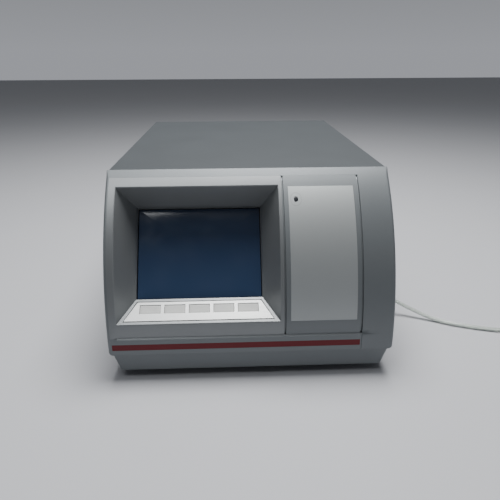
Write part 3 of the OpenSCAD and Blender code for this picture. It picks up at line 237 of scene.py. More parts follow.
def face_point(x, z, inset=0.0, back=0.0):
    """A point of the convex front at width x and height z: the front is an arc about a line
    along X at the nose's height. The point lies inset inwards from it, and back along Y."""
    c, radius = settings("cabinet"), face_radius()
    slope = np.arcsin((z - c.nose) / radius)
    y = c.front + radius - (radius - inset) * np.cos(slope) + back
    return coords(x, y, c.nose + (radius - inset) * np.sin(slope))


def on_arc(loop, inset=0.0, back=0.0):
    """A flat loop of (x, z) laid on the front."""
    return face_point(loop[..., 0], loop[..., 1], inset, back)


def face_slope(z):
    """Angle by which the front leans back from the vertical at height z."""
    return math.asin((z - settings("cabinet").nose) / face_radius())


def tilted_frame(origin, lean):
    """Matrix of a frame whose z axis points out of a surface that leans back from the
    vertical by lean, with x across and y up the surface."""
    turn = Matrix.Rotation(math.pi / 2 - lean, 4, "X")
    return Matrix.Translation(origin) @ turn


def lip_point():
    d = settings("display")
    return Vector(face_point(d.middle, d.lip).tolist())


def ledge_frame():
    """x across, y up the slope from the lip, z out of the ledge's face."""
    d = settings("display")
    return tilted_frame(lip_point(), math.pi / 2 - d.ledge_tilt)


def screen_frame():
    """x across, y up the screen from its lower edge, z out of its face."""
    d = settings("display")
    foot = ledge_frame() @ Vector((0, d.ledge, 0))
    return tilted_frame(foot, d.screen_tilt)


def placed(matrix, points):
    """Points carried from a frame to the part's own: the matrix times each of them."""
    m = np.array(matrix)
    return points @ m[:3, :3].T + m[:3, 3]


def sides(corners, counts):
    """A closed loop along straight sides: each side is divided evenly into its count."""
    corners = np.array(corners, dtype=float)
    ends = np.roll(corners, -1, axis=0)
    return np.concatenate([
        np.linspace(a, b, n, endpoint=False) for a, b, n in zip(corners, ends, counts)])


def rectangle(x0, x1, z0, z1, across, up):
    return sides([(x0, z0), (x1, z0), (x1, z1), (x0, z1)], (across, up, across, up))


def box_outline(low, high, margin, across, up):
    """Outline of a box seen from the front, a margin outside it."""
    return rectangle(low.x - margin, high.x + margin, low.z - margin, high.z + margin,
                     across, up)


def rounded_rectangle(half_x, half_y, radius):
    """A closed loop of four quarter circles joined by straight sides."""
    turn = np.linspace(0, math.pi / 2, 6)
    arcs = []
    for k, (sx, sy) in enumerate([(1, 1), (-1, 1), (-1, -1), (1, -1)]):
        a = turn + k * math.pi / 2
        arcs.append(coords(sx * (half_x - radius) + radius * np.cos(a),
                           sy * (half_y - radius) + radius * np.sin(a)))
    return np.concatenate(arcs)


def between(a, b, steps):
    """Rows that lead evenly from loop a to loop b."""
    share = np.linspace(0, 1, steps + 1)[:, None, None]
    return a + (b - a) * share


def raised(loops, height):
    """Flat loops lifted to one height."""
    return np.concatenate([loops, np.full((*loops.shape[:-1], 1), height)], axis=-1)


def patch(points, wrap=False, mark=0, left_out=None):
    """Quads over rows and columns of points. wrap joins the last column to the first, mark
    is the number of their material and left_out marks the quads that are open."""
    rows, cols = points.shape[:2]
    index = np.arange(rows * cols).reshape(rows, cols)
    here = index if wrap else index[:, :-1]
    beside = np.roll(index, -1, axis=1) if wrap else index[:, 1:]
    quads = np.stack([here[:-1], beside[:-1], beside[1:], here[1:]], axis=-1)
    quads = quads.reshape(-1, 4)
    if left_out is not None:
        quads = quads[~left_out.reshape(-1)]
    return points.reshape(-1, 3), quads, mark


def revolved(profile, matrix):
    """A profile of (radius, height) points turned about z: x = r cos a, y = r sin a."""
    a = np.linspace(0, 2 * math.pi, 32, endpoint=False)
    r, height = profile[:, 0, None], profile[:, 1, None]
    return patch(placed(matrix, coords(r * np.cos(a), r * np.sin(a), height)), wrap=True)


# ---------- Pieces ----------

MERGE = 1e-6
SHARP = math.radians(35)
FLAT = math.radians(1)
# The way that open sheets on the front face
FRONT = (0, -1, 0)


def add_object(name, data):
    added = bpy.data.objects.new(name, data)
    bpy.context.scene.collection.objects.link(added)
    return added


def settle_mesh(mesh, facing):
    """Joins the patches, closes the poles and turns every face outwards: a closed shape by
    its volume, an open sheet by the direction that it faces."""
    bm = bmesh.new()
    bm.from_mesh(mesh)
    bmesh.ops.remove_doubles(bm, verts=bm.verts, dist=MERGE)
    bmesh.ops.dissolve_degenerate(bm, edges=bm.edges, dist=MERGE / 10)
    bmesh.ops.recalc_face_normals(bm, faces=bm.faces)
    if facing is None:
        outward = bm.calc_volume(signed=True)
    else:
        outward = sum((f.normal * f.calc_area() for f in bm.faces), Vector()).dot(
            Vector(facing))
    if outward < 0:
        bmesh.ops.reverse_faces(bm, faces=bm.faces)
    bm.to_mesh(mesh)
    bm.free()
    mesh.shade_smooth()


def weigh_edges(mesh, rounding):
    """Gives each sharp edge its own share of the bevel's width: rounding takes the edges'
    middles and gives a share for each."""
    bm = bmesh.new()
    bm.from_mesh(mesh)
    sharp = np.array([e.calc_face_angle(0.0) > SHARP for e in bm.edges])
    ends = np.array([[v.co[:] for v in e.verts] for e in bm.edges])
    bm.free()
    weights = mesh.attributes.new("bevel_weight_edge", "FLOAT", "EDGE")
    weights.data.foreach_set("value", np.where(sharp, rounding(ends.mean(axis=1)), 0.0))


def finish_piece(piece, finishes, body, slot, replaced, wall=0.0, edge=0.0, steps=2,
                 edge_first=False, rounding=None):
    """Gives a piece its wall, rounded edges and materials, and its place in the frame."""
    def round_edges():
        bevel = piece.modifiers.new("Edges", "BEVEL")
        bevel.width = edge
        bevel.segments = steps
        bevel.limit_method = "WEIGHT" if rounding else "ANGLE"
        bevel.angle_limit = SHARP
        bevel.harden_normals = True

    if rounding:
        weigh_edges(piece.data, rounding)
    if edge and edge_first:
        round_edges()
    if wall:
        solid = piece.modifiers.new("Wall", "SOLIDIFY")
        solid.thickness = wall
        solid.offset = -1
        solid.use_even_offset = True
        solid.use_quality_normals = True
    if edge and not edge_first:
        round_edges()
    if not edge:
        piece.data.set_sharp_from_angle(angle=SHARP)
    piece.data.materials.clear()
    for finish in finishes:
        piece.data.materials.append(finish)
    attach(piece, body)
    if replaced:
        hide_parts(*replaced)
    return piece


def make_piece(name, patches, finishes, slot, replaced=(), body="root", facing=None,
               **walls):
    """One object from patches: their points and quads are put end to end."""
    starts = np.cumsum([0] + [len(p[0]) for p in patches[:-1]])
    points = np.concatenate([p[0] for p in patches])
    quads = np.concatenate([p[1] + start for p, start in zip(patches, starts)])
    marks = np.concatenate([np.full(len(p[1]), p[2]) for p in patches])
    mesh = bpy.data.meshes.new(name)
    mesh.from_pydata(points.tolist(), [], quads.tolist())
    mesh.polygons.foreach_set("material_index", marks)
    settle_mesh(mesh, facing)
    return finish_piece(add_object(name, mesh), finishes, body, slot, replaced, **walls)


def finished_copy(node, finish, slot, edge):
    """A copy of a node with its loose triangles merged, its flat faces whole and its edges
    rounded; it stands for the node."""
    mesh = frame["nodes"][node].data.copy()
    bm = bmesh.new()
    bm.from_mesh(mesh)
    bmesh.ops.remove_doubles(bm, verts=bm.verts, dist=MERGE)
    bmesh.ops.dissolve_limit(bm, angle_limit=FLAT, verts=bm.verts, edges=bm.edges)
    bm.to_mesh(mesh)
    bm.free()
    if "custom_normal" in mesh.attributes:
        mesh.attributes.remove(mesh.attributes["custom_normal"])
    mesh.shade_smooth()
    piece = add_object(node + "_finished", mesh)
    body = node if node in frame["bodies"] else "root"
    return finish_piece(piece, [finish], body, slot, (node,), edge=edge)


# ---------- Materials ----------

# Most of a noise's values lie between these two
NOISE_SPAN = (0.3, 0.7)


def new_material(name):
    """A node material, its tree and its shader."""
    material = bpy.data.materials.new(name)
    material.use_nodes = True
    tree = material.node_tree
    return material, tree, tree.nodes["Principled BSDF"]


def set_inputs(tree, node, values):
    """Sets a node's inputs by name or number: a socket is linked to, a value is set."""
    for key, value in values.items():
        if isinstance(value, bpy.types.NodeSocket):
            tree.links.new(value, node.inputs[key])
        else:
            node.inputs[key].default_value = value


def add_node(tree, kind, values):
    node = tree.nodes.new(kind)
    set_inputs(tree, node, values)
    return node


def computed(tree, operation, *values):
    """Result of a math node: each value is a number or a socket."""
    node = add_node(tree, "ShaderNodeMath", dict(enumerate(values)))
    node.operation = operation
    return node.outputs[0]


def object_place(tree, stretch=(1, 1, 1), matrix=None):
    """Object coordinates, in the frame of a matrix if one is given, then stretched."""
    place = tree.nodes.new("ShaderNodeTexCoord").outputs["Object"]
    if matrix is not None:
        turn = add_node(tree, "ShaderNodeMapping", {
            "Location": matrix.translation, "Rotation": matrix.to_euler(),
            "Vector": place})
        turn.vector_type = "TEXTURE"
        place = turn.outputs["Vector"]
    if stretch != (1, 1, 1):
        place = add_node(tree, "ShaderNodeMapping", {
            "Scale": stretch, "Vector": place}).outputs["Vector"]
    return place


def noise(tree, place, scale, detail=3.0, rough=0.55):
    return add_node(tree, "ShaderNodeTexNoise", {
        "Scale": scale, "Detail": detail, "Roughness": rough,
        "Vector": place}).outputs["Fac"]


def ranged(tree, value, low, high, start=0.0, end=1.0):
    """The value's stretch from start to end brought to low to high, and held beyond it."""
    return add_node(tree, "ShaderNodeMapRange", {
        "From Min": start, "From Max": end, "To Min": low, "To Max": high,
        "Value": value}).outputs["Result"]


def mixed(tree, share, first, second):
    """A colour between two: each is a colour or a socket."""
    node = tree.nodes.new("ShaderNodeMix")
    node.data_type = "RGBA"
    ends = [number for number, s in enumerate(node.inputs) if s.type == "RGBA"]
    set_inputs(tree, node, {
        number: value if isinstance(value, bpy.types.NodeSocket) else (*value, 1.0)
        for number, value in zip(ends, (first, second))})
    set_inputs(tree, node, {"Factor": share})
    return next(s for s in node.outputs if s.type == "RGBA")


def bumped(tree, height, distance, strength=1.0):
    """Normals of a surface that rises with the height."""
    return add_node(tree, "ShaderNodeBump", {
        "Strength": strength, "Distance": distance, "Height": height}).outputs["Normal"]


def shade(tint, factor):
    return tuple(min(1.0, part * factor) for part in tint)


def surface(name, tint, roughness, metallic, mottle, grain_scale, grain,
            mottle_scale=18.0, speckle=0.0, stretch=(1, 1, 1), coat=0.0, specular=0.5,
            spread=0.06):
    """A general finish: broad mottling, a fine grain in colour and roughness, and bump."""
    material, tree, shader = new_material(name)
    broad = noise(tree, object_place(tree), mottle_scale, 4.0)
    fine = noise(tree, object_place(tree, stretch), grain_scale, 2.0)
    base = mixed(tree, ranged(tree, broad, 0.0, 1.0, *NOISE_SPAN),
                 shade(tint, 1 - mottle), shade(tint, 1 + mottle))
    if speckle:
        base = mixed(tree, ranged(tree, fine, 0.0, speckle, 0.45, 0.75), base,
                     shade(tint, 1.6))
    set_inputs(tree, shader, {
        "Base Color": base,
        "Roughness": ranged(tree, fine, roughness - spread, roughness + spread,
                            *NOISE_SPAN),
        "Metallic": metallic, "Coat Weight": coat, "Specular IOR Level": specular,
        "Normal": bumped(tree, fine, grain)})
    return material


def screen_finish():
    """Dark glass: a black printed border round a navy field, with painted light that makes
    the navy a little lighter towards its lower edge, and faint smudges in its gloss."""
    material, tree, shader = new_material("screen_glass")
    d, navy = settings("display"), settings("colours").screen
    border, soft, black = 0.0008, 0.0003, (0.004, 0.004, 0.005)
    split = add_node(tree, "ShaderNodeSeparateXYZ", {
        "Vector": object_place(tree, matrix=screen_frame())})
    across, up = computed(tree, "ABSOLUTE", split.outputs["X"]), split.outputs["Y"]
    half, top = d.screen_width / 2 - border, d.screen_height - border
    side = ranged(tree, across, 0.0, 1.0, half - soft, half)
    low = ranged(tree, up, 1.0, 0.0, border, border + soft)
    high = ranged(tree, up, 0.0, 1.0, top - soft, top)
    printed = computed(tree, "MAXIMUM", computed(tree, "MAXIMUM", side, low), high)
    # Painted light: the navy grows lighter towards the screen's lower edge, standing in for
    # reflected light
    painted_light_field = mixed(tree, ranged(tree, up, 1.0, 0.0, 0.0, d.screen_height),
                  shade(navy, 1.1), shade(navy, 1.5))
    smudge = noise(tree, object_place(tree, (1, 1.6, 1)), 26.0, 5.0, 0.6)
    set_inputs(tree, shader, {
        "Base Color": mixed(tree, printed, painted_light_field, black),
        "Roughness": ranged(tree, smudge, 0.10, 0.28, 0.35, 0.75),
        "Specular IOR Level": 0.6, "Normal": bumped(tree, smudge, 0.00002, 0.3)})
    return material


def label_finish():
    """Satin aluminium, brushed up and down, with a faint printed ring round the lamp."""
    material, tree, shader = new_material("label_aluminium")
    lamp, tint = settings("lamp"), settings("colours").label
    place = object_place(tree)
    brush = noise(tree, object_place(tree, (900, 20, 20)), 1.0, 2.0)
    fine = noise(tree, place, 1800.0, 2.0)
    split = add_node(tree, "ShaderNodeSeparateXYZ", {"Vector": place}).outputs
    flat = add_node(tree, "ShaderNodeCombineXYZ", {"X": split["X"], "Z": split["Z"]})
    reach = add_node(tree, "ShaderNodeVectorMath", {
        0: flat.outputs[0], 1: (lamp.x, 0, lamp.z)})
    reach.operation = "DISTANCE"
    away = computed(tree, "SUBTRACT", reach.outputs["Value"], lamp.ring)
    line = 0.00035
    ring = ranged(tree, computed(tree, "ABSOLUTE", away), 0.5, 0.0, line / 2, line)
    base = mixed(tree, ranged(tree, fine, 0.0, 1.0, *NOISE_SPAN), shade(tint, 0.97),
                 shade(tint, 1.03))
    set_inputs(tree, shader, {
        "Base Color": mixed(tree, ring, base, shade(tint, 0.45)),
        "Roughness": ranged(tree, fine, 0.40, 0.48), "Metallic": 0.6,
        "Normal": bumped(tree, brush, 0.000004)})
    return material


def clear_finish(name, tint, roughness, cloud):
    """Clear tube or glass: transmission with a slightly cloudy wall."""
    material, tree, shader = new_material(name)
    haze = noise(tree, object_place(tree), 120.0)
    set_inputs(tree, shader, {
        "Base Color": mixed(tree, ranged(tree, haze, 0.0, 1.0, *NOISE_SPAN),
                            shade(tint, 0.96), tint),
        "Roughness": ranged(tree, haze, roughness, roughness + 0.08, *NOISE_SPAN),
        "Transmission Weight": 1.0 - cloud, "IOR": 1.40})
    return material


def board_finish():
    """Green laminate with fine straight tracks."""
    material, tree, shader = new_material("circuit_board")
    brick = add_node(tree, "ShaderNodeTexBrick", {
        "Color1": (0.012, 0.10, 0.045, 1), "Color2": (0.016, 0.13, 0.06, 1),
        "Mortar": (0.03, 0.20, 0.09, 1), "Scale": 1.0, "Mortar Size": 0.05,
        "Vector": object_place(tree, (260, 260, 260))})
    set_inputs(tree, shader, {
        "Base Color": brick.outputs["Color"], "Roughness": 0.35, "Coat Weight": 0.3,
        "Normal": bumped(tree, brick.outputs["Fac"], 0.00003)})
    return material


def brushed(*stretch):
    """What rolled sheet has besides: long fine scratches in its gloss and bump."""
    return {"stretch": stretch, "spread": 0.08}


# Name of the material, its colour or the setting that holds it, roughness, metallic share,
# mottling, scale and height of the grain, and what else differs from a plain surface
PLAIN = {
    "shell": ("metallic_plastic", "shell", 0.42, 0.4, 0.02, 2600, 0.00001,
              {"speckle": 0.2}),
    "recess": ("recess_plastic", "recess", 0.40, 0.6, 0.02, 2200, 0.00001,
               {"speckle": 0.15}),
    "hood": ("hood_paint", "hood", 0.50, 0.0, 0.05, 1500, 0.00006, {"specular": 0.45}),
    "plate": ("key_plate_satin", "plate", 0.34, 0.25, 0.015, 1.0, 0.000004,
              {"stretch": (30, 900, 900)}),
    "key": ("key_plastic", "key", 0.5, 0.0, 0.04, 3500, 0.00002, {"mottle_scale": 90}),
    "strip": ("strip_enamel", "strip", 0.45, 0.0, 0.05, 1800, 0.000008,
              {"specular": 0.3}),
    "lamp": ("lamp_lens", (0.02, 0.022, 0.026), 0.18, 0.0, 0.1, 800, 0.00001,
             {"coat": 0.4}),
    "gasket": ("screen_gasket", (0.008, 0.008, 0.009), 0.6, 0.0, 0.05, 1500, 0.00002, {}),
    "rubber": ("foot_rubber", (0.018, 0.018, 0.019), 0.78, 0.0, 0.12, 700, 0.00012,
               {"specular": 0.3}),
    "screw": ("screw_zinc", (0.48, 0.49, 0.50), 0.30, 1.0, 0.06, 1400, 0.00001, {}),
    "rear": ("rear_sheet", (0.50, 0.51, 0.52), 0.36, 0.9, 0.03, 1.0, 0.000006,
             brushed(18, 700, 700)),
    "sheet": ("tray_sheet", (0.46, 0.47, 0.48), 0.38, 0.9, 0.03, 1.0, 0.000006,
              brushed(700, 18, 700)),
    "alloy": ("milled_alloy", (0.62, 0.63, 0.64), 0.30, 0.9, 0.03, 1.0, 0.000006,
              brushed(700, 20, 700)),
    "black": ("black_plastic", (0.020, 0.020, 0.022), 0.44, 0.0, 0.08, 1300, 0.00005, {}),
    "dark_fan": ("fan_plastic", (0.030, 0.030, 0.032), 0.36, 0.0, 0.06, 900, 0.00002, {}),
    "brass": ("brass_contact", (0.60, 0.44, 0.18), 0.26, 1.0, 0.06, 1200, 0.00001, {}),
    "ceramic": ("white_ceramic", (0.74, 0.73, 0.70), 0.42, 0.0, 0.04, 600, 0.00003, {}),
    "foam": ("dark_foam", (0.035, 0.036, 0.038), 0.92, 0.0, 0.2, 420, 0.0004,
             {"mottle_scale": 60, "specular": 0.2}),
    "port": ("port_polymer", (0.70, 0.70, 0.67), 0.38, 0.0, 0.03, 1200, 0.00002, {}),
    "lcd": ("lcd_body", (0.30, 0.31, 0.33), 0.5, 0.0, 0.05, 900, 0.00002, {}),
    "amber": ("cartridge_amber", (0.62, 0.30, 0.06), 0.30, 0.0, 0.15, 700, 0.0001,
              {"mottle_scale": 160, "coat": 0.3}),
    "floor": ("pale_floor", (0.40, 0.405, 0.425), 0.7, 0.0, 0.01, 500, 0.00002,
              {"mottle_scale": 3.0}),
}
SPECIAL = {
    "screen": screen_finish,
    "label": label_finish,
    "board": board_finish,
    "hose": lambda: clear_finish("clear_hose", (0.86, 0.90, 0.86), 0.10, 0.30),
    "glass": lambda: clear_finish("cell_glass", (0.92, 0.96, 0.96), 0.02, 0.05),
}
MADE = {}


def finish(name):
    """Each finish is made once, when it is first asked for."""
    if name in SPECIAL and name not in MADE:
        MADE[name] = SPECIAL[name]()
    elif name not in MADE:
        title, tint, *numbers, others = PLAIN[name]
        if isinstance(tint, str):
            tint = getattr(settings("colours"), tint)
        MADE[name] = surface(title, tint, *numbers, **others)
    return MADE[name]


# ---------- Front ----------

def u_section(rows_z, corner, half, front, rear, xs, side_steps, arc_steps=6):
    """Points round the front and both sides at each height: from the left rear edge
    forwards, round a quarter circle, across the front, and back along the right. Every
    size is one value, or one for each height."""
    z = rows_z[:, None]
    front, half, corner, rear = (
        np.broadcast_to(v, rows_z.shape)[:, None] for v in (front, half, corner, rear))
    run = np.linspace(0, 1, side_steps + 1)[:-1]
    turn = np.linspace(0, math.pi / 2, arc_steps + 1)
    side_y = rear + (front + corner - rear) * run
    arc_x = half - corner + corner * np.cos(turn)
    arc_y = front + corner - corner * np.sin(turn)
    xs = np.broadcast_to(xs, (len(z), xs.shape[-1]))
    x = np.concatenate([
        np.broadcast_to(-half, side_y.shape), -arc_x, xs, arc_x[:, ::-1],
        np.broadcast_to(half, side_y.shape)], axis=1)
    y = np.concatenate([
        side_y, arc_y, np.broadcast_to(front, xs.shape), arc_y[:, ::-1], side_y[:, ::-1]],
        axis=1)
    return coords(x, y, z)


def lines(stops, step):
    """Grid lines through every stop, no further apart than step."""
    parts = [
        np.linspace(a, b, max(1, math.ceil((b - a) / step - 1e-6)), endpoint=False)
        for a, b in zip(stops[:-1], stops[1:])]
    return np.append(np.concatenate(parts), stops[-1])


def build_bezel():
    """The moulded frame: rows round its front and sides, open where the inserts, the strip
    and the crease lie, and the underside behind its nose."""
    c, f = settings("cabinet"), settings("front")
    gap, trim, r, foot = f.gap, f.gap / 3, f.step, c.foot_corner
    half, rear, side_steps = c.width / 2, c.rear - f.gap, 8
    row, column, clear, lead, last, near = 0.005, 0.012, 0.00005, 0.0003, 0.0005, 0.0015
    corner_share, least_depth = 0.45, 0.00002
    strip_x = (STRIP_LO.x - trim, STRIP_HI.x + trim)
    strip_z = (STRIP_LO.z - trim, STRIP_HI.z + trim)
    z_top = c.height - gap / math.tan(face_slope(c.height)) - clear
    quarter = np.linspace(0, math.pi / 2, 9)
    z = np.unique(np.round(np.concatenate([
        c.nose + foot * (1 - np.cos(quarter)), f.bottom - r + r * np.sin(quarter),
        lines([c.nose + foot, *strip_z, f.bottom - r], row),
        lines([f.bottom, f.insert_top + gap, z_top], row)]), 7))
    xs = lines([f.opening_left, strip_x[0], f.fall_left - lead, f.fall_left, f.seam,
                strip_x[1], f.opening_right - f.crease, f.opening_right,
                half - c.corner - last], column)
    # The nose is rounded, the corners stay smaller than the sides' depth, and the lower
    # outer corners are quarter circles
    low = c.nose_round - np.minimum(z - c.nose, c.nose_round)
    front = face_point(0.0, z)[:, 1] + c.nose_round - np.sqrt(c.nose_round ** 2 - low ** 2)
    corner = np.minimum(c.corner, corner_share * np.maximum(rear - front, least_depth))
    below = foot - np.minimum(z - c.nose, foot)
    across = half - foot + np.sqrt(foot ** 2 - below ** 2)
    xs = xs * (across - c.corner)[:, None] / (half - c.corner)
    section = u_section(z, corner, across, front, rear, xs, side_steps)
    # The edge under the border slopes back from the front
    drop = np.where(z <= f.bottom + MERGE, np.clip(z - (f.bottom - r), 0, r), 0.0)
    stepped = (section[..., 0] > f.fall_left - MERGE) & (
        section[..., 0] < f.opening_right + MERGE)
    stepped &= section[..., 1] < front[:, None] + MERGE
    section[..., 1] += np.where(stepped, drop[:, None], 0.0)
    middle = (section[:-1, :-1] + section[1:, 1:]) / 2
    mx, mz = middle[..., 0], middle[..., 2]
    facing_front = middle[..., 1] < (front[:-1] + front[1:])[:, None] / 2 + near
    inside = (mz > f.bottom) & (mx > f.opening_left) & (mx < f.opening_right)
    inside &= mz < np.where(mx < f.seam, f.insert_top + gap, f.panel_top + gap)
    inside |= (mz > strip_z[0]) & (mz < strip_z[1]) & (mx > strip_x[0]) & (mx < strip_x[1])
    inside |= (mz < f.bottom) & (mx > f.opening_right - f.crease) & (mx < f.opening_right)
    shell = patch(section, left_out=inside & facing_front)
    nose = section[0, side_steps:-side_steps]
    floor = patch(between(coords(nose[:, 0], rear, nose[:, 2]), nose, 8))
    make_piece("bezel_shell", [shell, floor], [finish("shell")], "bezel_grey",
               ("front_bezel",), facing=FRONT, wall=c.wall, edge=c.edge, steps=1)


def build_chin():
    """The set-back cover: its front leans back and its sides draw in evenly downwards."""
    c, clear, reach = settings("cabinet"), 0.0002, 0.14
    z = np.linspace(CHIN_LO.z, CHIN_HI.z - clear, 7)
    share = (CHIN_HI.z - z) / (CHIN_HI.z - CHIN_LO.z)
    half = CHIN_HI.x - c.chin_taper * share
    front = c.front + c.chin_setback + c.chin_fall * share
    xs = np.linspace(-reach, reach, 29)
    section = u_section(z, c.chin_corner, half, front, CHIN_HI.y, xs, 10, 8)
    make_piece("chin_shell", [patch(section)], [finish("shell")], "bezel_grey",
               ("chin_cover",), facing=FRONT, wall=c.wall, edge=0.0005)


BORDER_WALL = 0.0025
FALL_RUN = 0.0012


def falling(loop):
    """How far the lower border of an insert falls back: none at its upper edge, then
    evenly more down to its lower edge, and none left of where the fall starts."""
    f = settings("front")
    start = settings("display").lip - BORDER_WALL
    share = np.clip((start - loop[..., 1]) / (start - f.bottom - f.gap), 0, 1)
    return f.fall * share * np.clip((loop[..., 0] - f.fall_left) / FALL_RUN, 0, 1)


def on_front(loop, inset=0.0):
    """A flat loop laid on the inserts, whose lower border falls back."""
    return on_arc(loop, inset, falling(loop))


def build_insert():
    """The display insert: its band and skirt on the front, the recess's walls in straight
    lines from the screen's border to the front, and the ledge with the plate's pocket."""
    f, d, k = settings("front"), settings("display"), settings("keys")
    across, up, depth, lap = 40, 36, 8, 0.0015
    half_mouth, half_screen = d.recess_width / 2, d.screen_width / 2
    outer = rectangle(f.opening_left + f.gap, f.seam - f.groove / 2, f.bottom + f.gap,
                      f.insert_top, across, up)
    mouth = rectangle(d.middle - half_mouth, d.middle + half_mouth, d.lip, d.top,
                      across, up)
    band = patch(on_front(between(mouth, outer, 4)), wrap=True)
    skirt = patch(np.stack([on_front(outer), on_front(outer, f.depth)]), wrap=True)
    share = np.linspace(0, 1, depth + 1)[:, None]
    t = np.linspace(0, 1, up + 1)
    seat, ledge_seat = screen_frame(), ledge_frame()
    screen_up = np.array(seat.col[1][:3])
    inner = np.array(seat.translation) + screen_up * (t * d.screen_height)[:, None]
    outside = face_point(0.0, d.lip + t * (d.top - d.lip))
    side_y = inner[:, 1] + (outside[:, 1] - inner[:, 1]) * share
    side_z = inner[:, 2] + (outside[:, 2] - inner[:, 2]) * share
    half = half_screen + share * (d.recess_width - d.screen_width) / 2
    left_wall = coords(d.middle - half, side_y, side_z)
    right_wall = left_wall * [-1, 1, 1] + [2 * d.middle, 0, 0]
    top_x = d.middle + half * np.linspace(-1, 1, across + 1)
    top_wall = coords(top_x, side_y[:, -1:], side_z[:, -1:])
    rim = placed(seat, raised(rectangle(
        -half_screen, half_screen, 0, d.screen_height, across, up), 0.0))
    sunk = rim - np.array(seat.col[2][:3]) * d.rim
    edge = sides([(-half_mouth, 0), (half_mouth, 0), (half_screen, d.ledge),
                  (-half_screen, d.ledge)], (across, depth, across, depth))
    low = (PLATE_HI.x - PLATE_LO.x) / 2
    pocket, floor = (sides([
        (-low - g, k.plate_bottom - g), (low + g, k.plate_bottom - g),
        (k.plate_half_top + g, k.plate_top + g), (-k.plate_half_top - g, k.plate_top + g)],
        (across, depth, across, depth)) for g in (k.groove, -lap))
    ledge = patch(placed(ledge_seat, np.concatenate([
        raised(between(edge, pocket, 2), 0.0), raised(pocket[None], -k.pocket),
        raised(floor[None], -k.pocket)])), wrap=True)
    make_piece(
        "display_surround",
        [band, skirt, patch(left_wall), patch(right_wall), patch(top_wall),
         patch(np.stack([rim, sunk]), wrap=True, mark=1), ledge],
        [finish("recess"), finish("gasket")], "insert_grey", ("display_insert",),
        facing=(0, -1, 0.3), wall=0.0016, edge=0.0012, steps=4, edge_first=True,
        rounding=insert_rounding)


def insert_rounding(middles):
    """The recess's mouth is rounded fully, its inner edges a little and the outer border,
    which meets the bezel, hardly at all."""
    f, d, near = settings("front"), settings("display"), 0.0004
    x, y, z = middles.T
    on_face = np.abs(y - face_point(0.0, z)[:, 1]) < near
    mouth = on_face & (np.abs(x - d.middle) < d.recess_width / 2 + near) & (
        z > d.lip - near) & (z < d.top + near)
    border = (x < f.opening_left + f.gap + near) | (x > f.seam - f.groove / 2 - near) | (
        z > f.insert_top - near) | (z < f.bottom + f.gap + near)
    return np.where(mouth, 1.0, np.where(border, 0.1, 0.3))


def build_grooves():
    """Floors of the grooves along both seams and of the crease: bands set in from the
    front, a little wider than the grooves."""
    f, lap = settings("front"), 0.0004

    def band(x0, x1, z):
        return coords(np.array([[x0 - lap], [x1 + lap]]), z)

    bands = []
    for x0, x1, top in (
            (f.seam - f.groove / 2, f.seam + f.groove / 2, f.insert_top),
            (f.panel_right, f.opening_right, f.panel_top)):
        z = np.linspace(f.bottom - lap, top + lap, 36)
        bands.append(patch(on_front(band(x0, x1, z), f.groove_depth)))
    z = np.linspace(settings("cabinet").nose + 0.001, f.bottom, 12)
    crease = band(f.opening_right - f.crease, f.opening_right, z)
    bands.append(patch(on_arc(crease, f.crease_depth)))
    make_piece("groove_floors", bands, [finish("shell")], "bezel_grey",
               facing=FRONT, wall=0.001)


LABEL_DEPTH = 0.0007


def build_panel():
    """The right-hand panel: a ring round the label's shallow pocket, and its edges."""
    f = settings("front")
    across, up, slack, lap = 12, 40, f.gap / 3, 0.003
    outer = rectangle(f.seam + f.groove / 2, f.panel_right, f.bottom + f.gap, f.panel_top,
                      across, up)
    pocket = box_outline(LABEL_LO, LABEL_HI, slack, across, up)
    floor = box_outline(LABEL_LO, LABEL_HI, -lap, across, up)
    sunk = LABEL_DEPTH + slack
    rows = np.concatenate([
        on_front(outer, f.depth)[None], on_front(between(outer, pocket, 4)),
        on_front(pocket, sunk)[None], on_front(between(pocket, floor, 2), sunk)[1:]])
    make_piece("side_panel", [patch(rows, wrap=True)], [finish("shell")], "bezel_grey",
               ("right_panel",), facing=FRONT, wall=0.0012, edge=0.00015,
               edge_first=True)


def build_label():
    """The label plate: rows lead from the lamp's round hole out to the plate's edge."""
    lamp, clear = settings("lamp"), 0.0001
    edge = box_outline(LABEL_LO, LABEL_HI, 0.0, 24, 40)
    away = edge - [lamp.x, lamp.z]
    hole = [lamp.x, lamp.z] + away / np.linalg.norm(away, axis=1)[:, None] * (
        lamp.radius + clear)
    # The rows stand closer together near the hole
    share = np.linspace(0, 1, 25)[:, None, None] ** 1.3
    points = np.concatenate([
        on_front(hole, LABEL_DEPTH)[None], on_front(hole + (edge - hole) * share),
        on_front(edge, LABEL_DEPTH)[None]])
    make_piece("bare_label", [patch(points, wrap=True)], [finish("label")], "label_silver",
               ("label_plate",), facing=FRONT, edge=0.00012)


def build_lamp():
    """A low dome on a short cylinder: its height is 1 - (r / R)^2 of the crown's."""
    lamp = settings("lamp")
    seat = tilted_frame(face_point(lamp.x, lamp.z).tolist(), face_slope(lamp.z))
    crown, foot, flange, collar = 0.00025, -0.005, 0.001, 0.0015
    r = np.linspace(lamp.radius, 0, 8)
    wide = lamp.radius + flange
    profile = np.concatenate([
        [(0, foot), (wide, foot), (wide, foot + collar), (lamp.radius, foot + collar)],
        coords(r, crown * (1 - (r / lamp.radius) ** 2) - crown)])
    make_piece("lamp_lens", [revolved(profile, seat)], [finish("lamp")], "lamp_dark",
               ("status_lamp",))


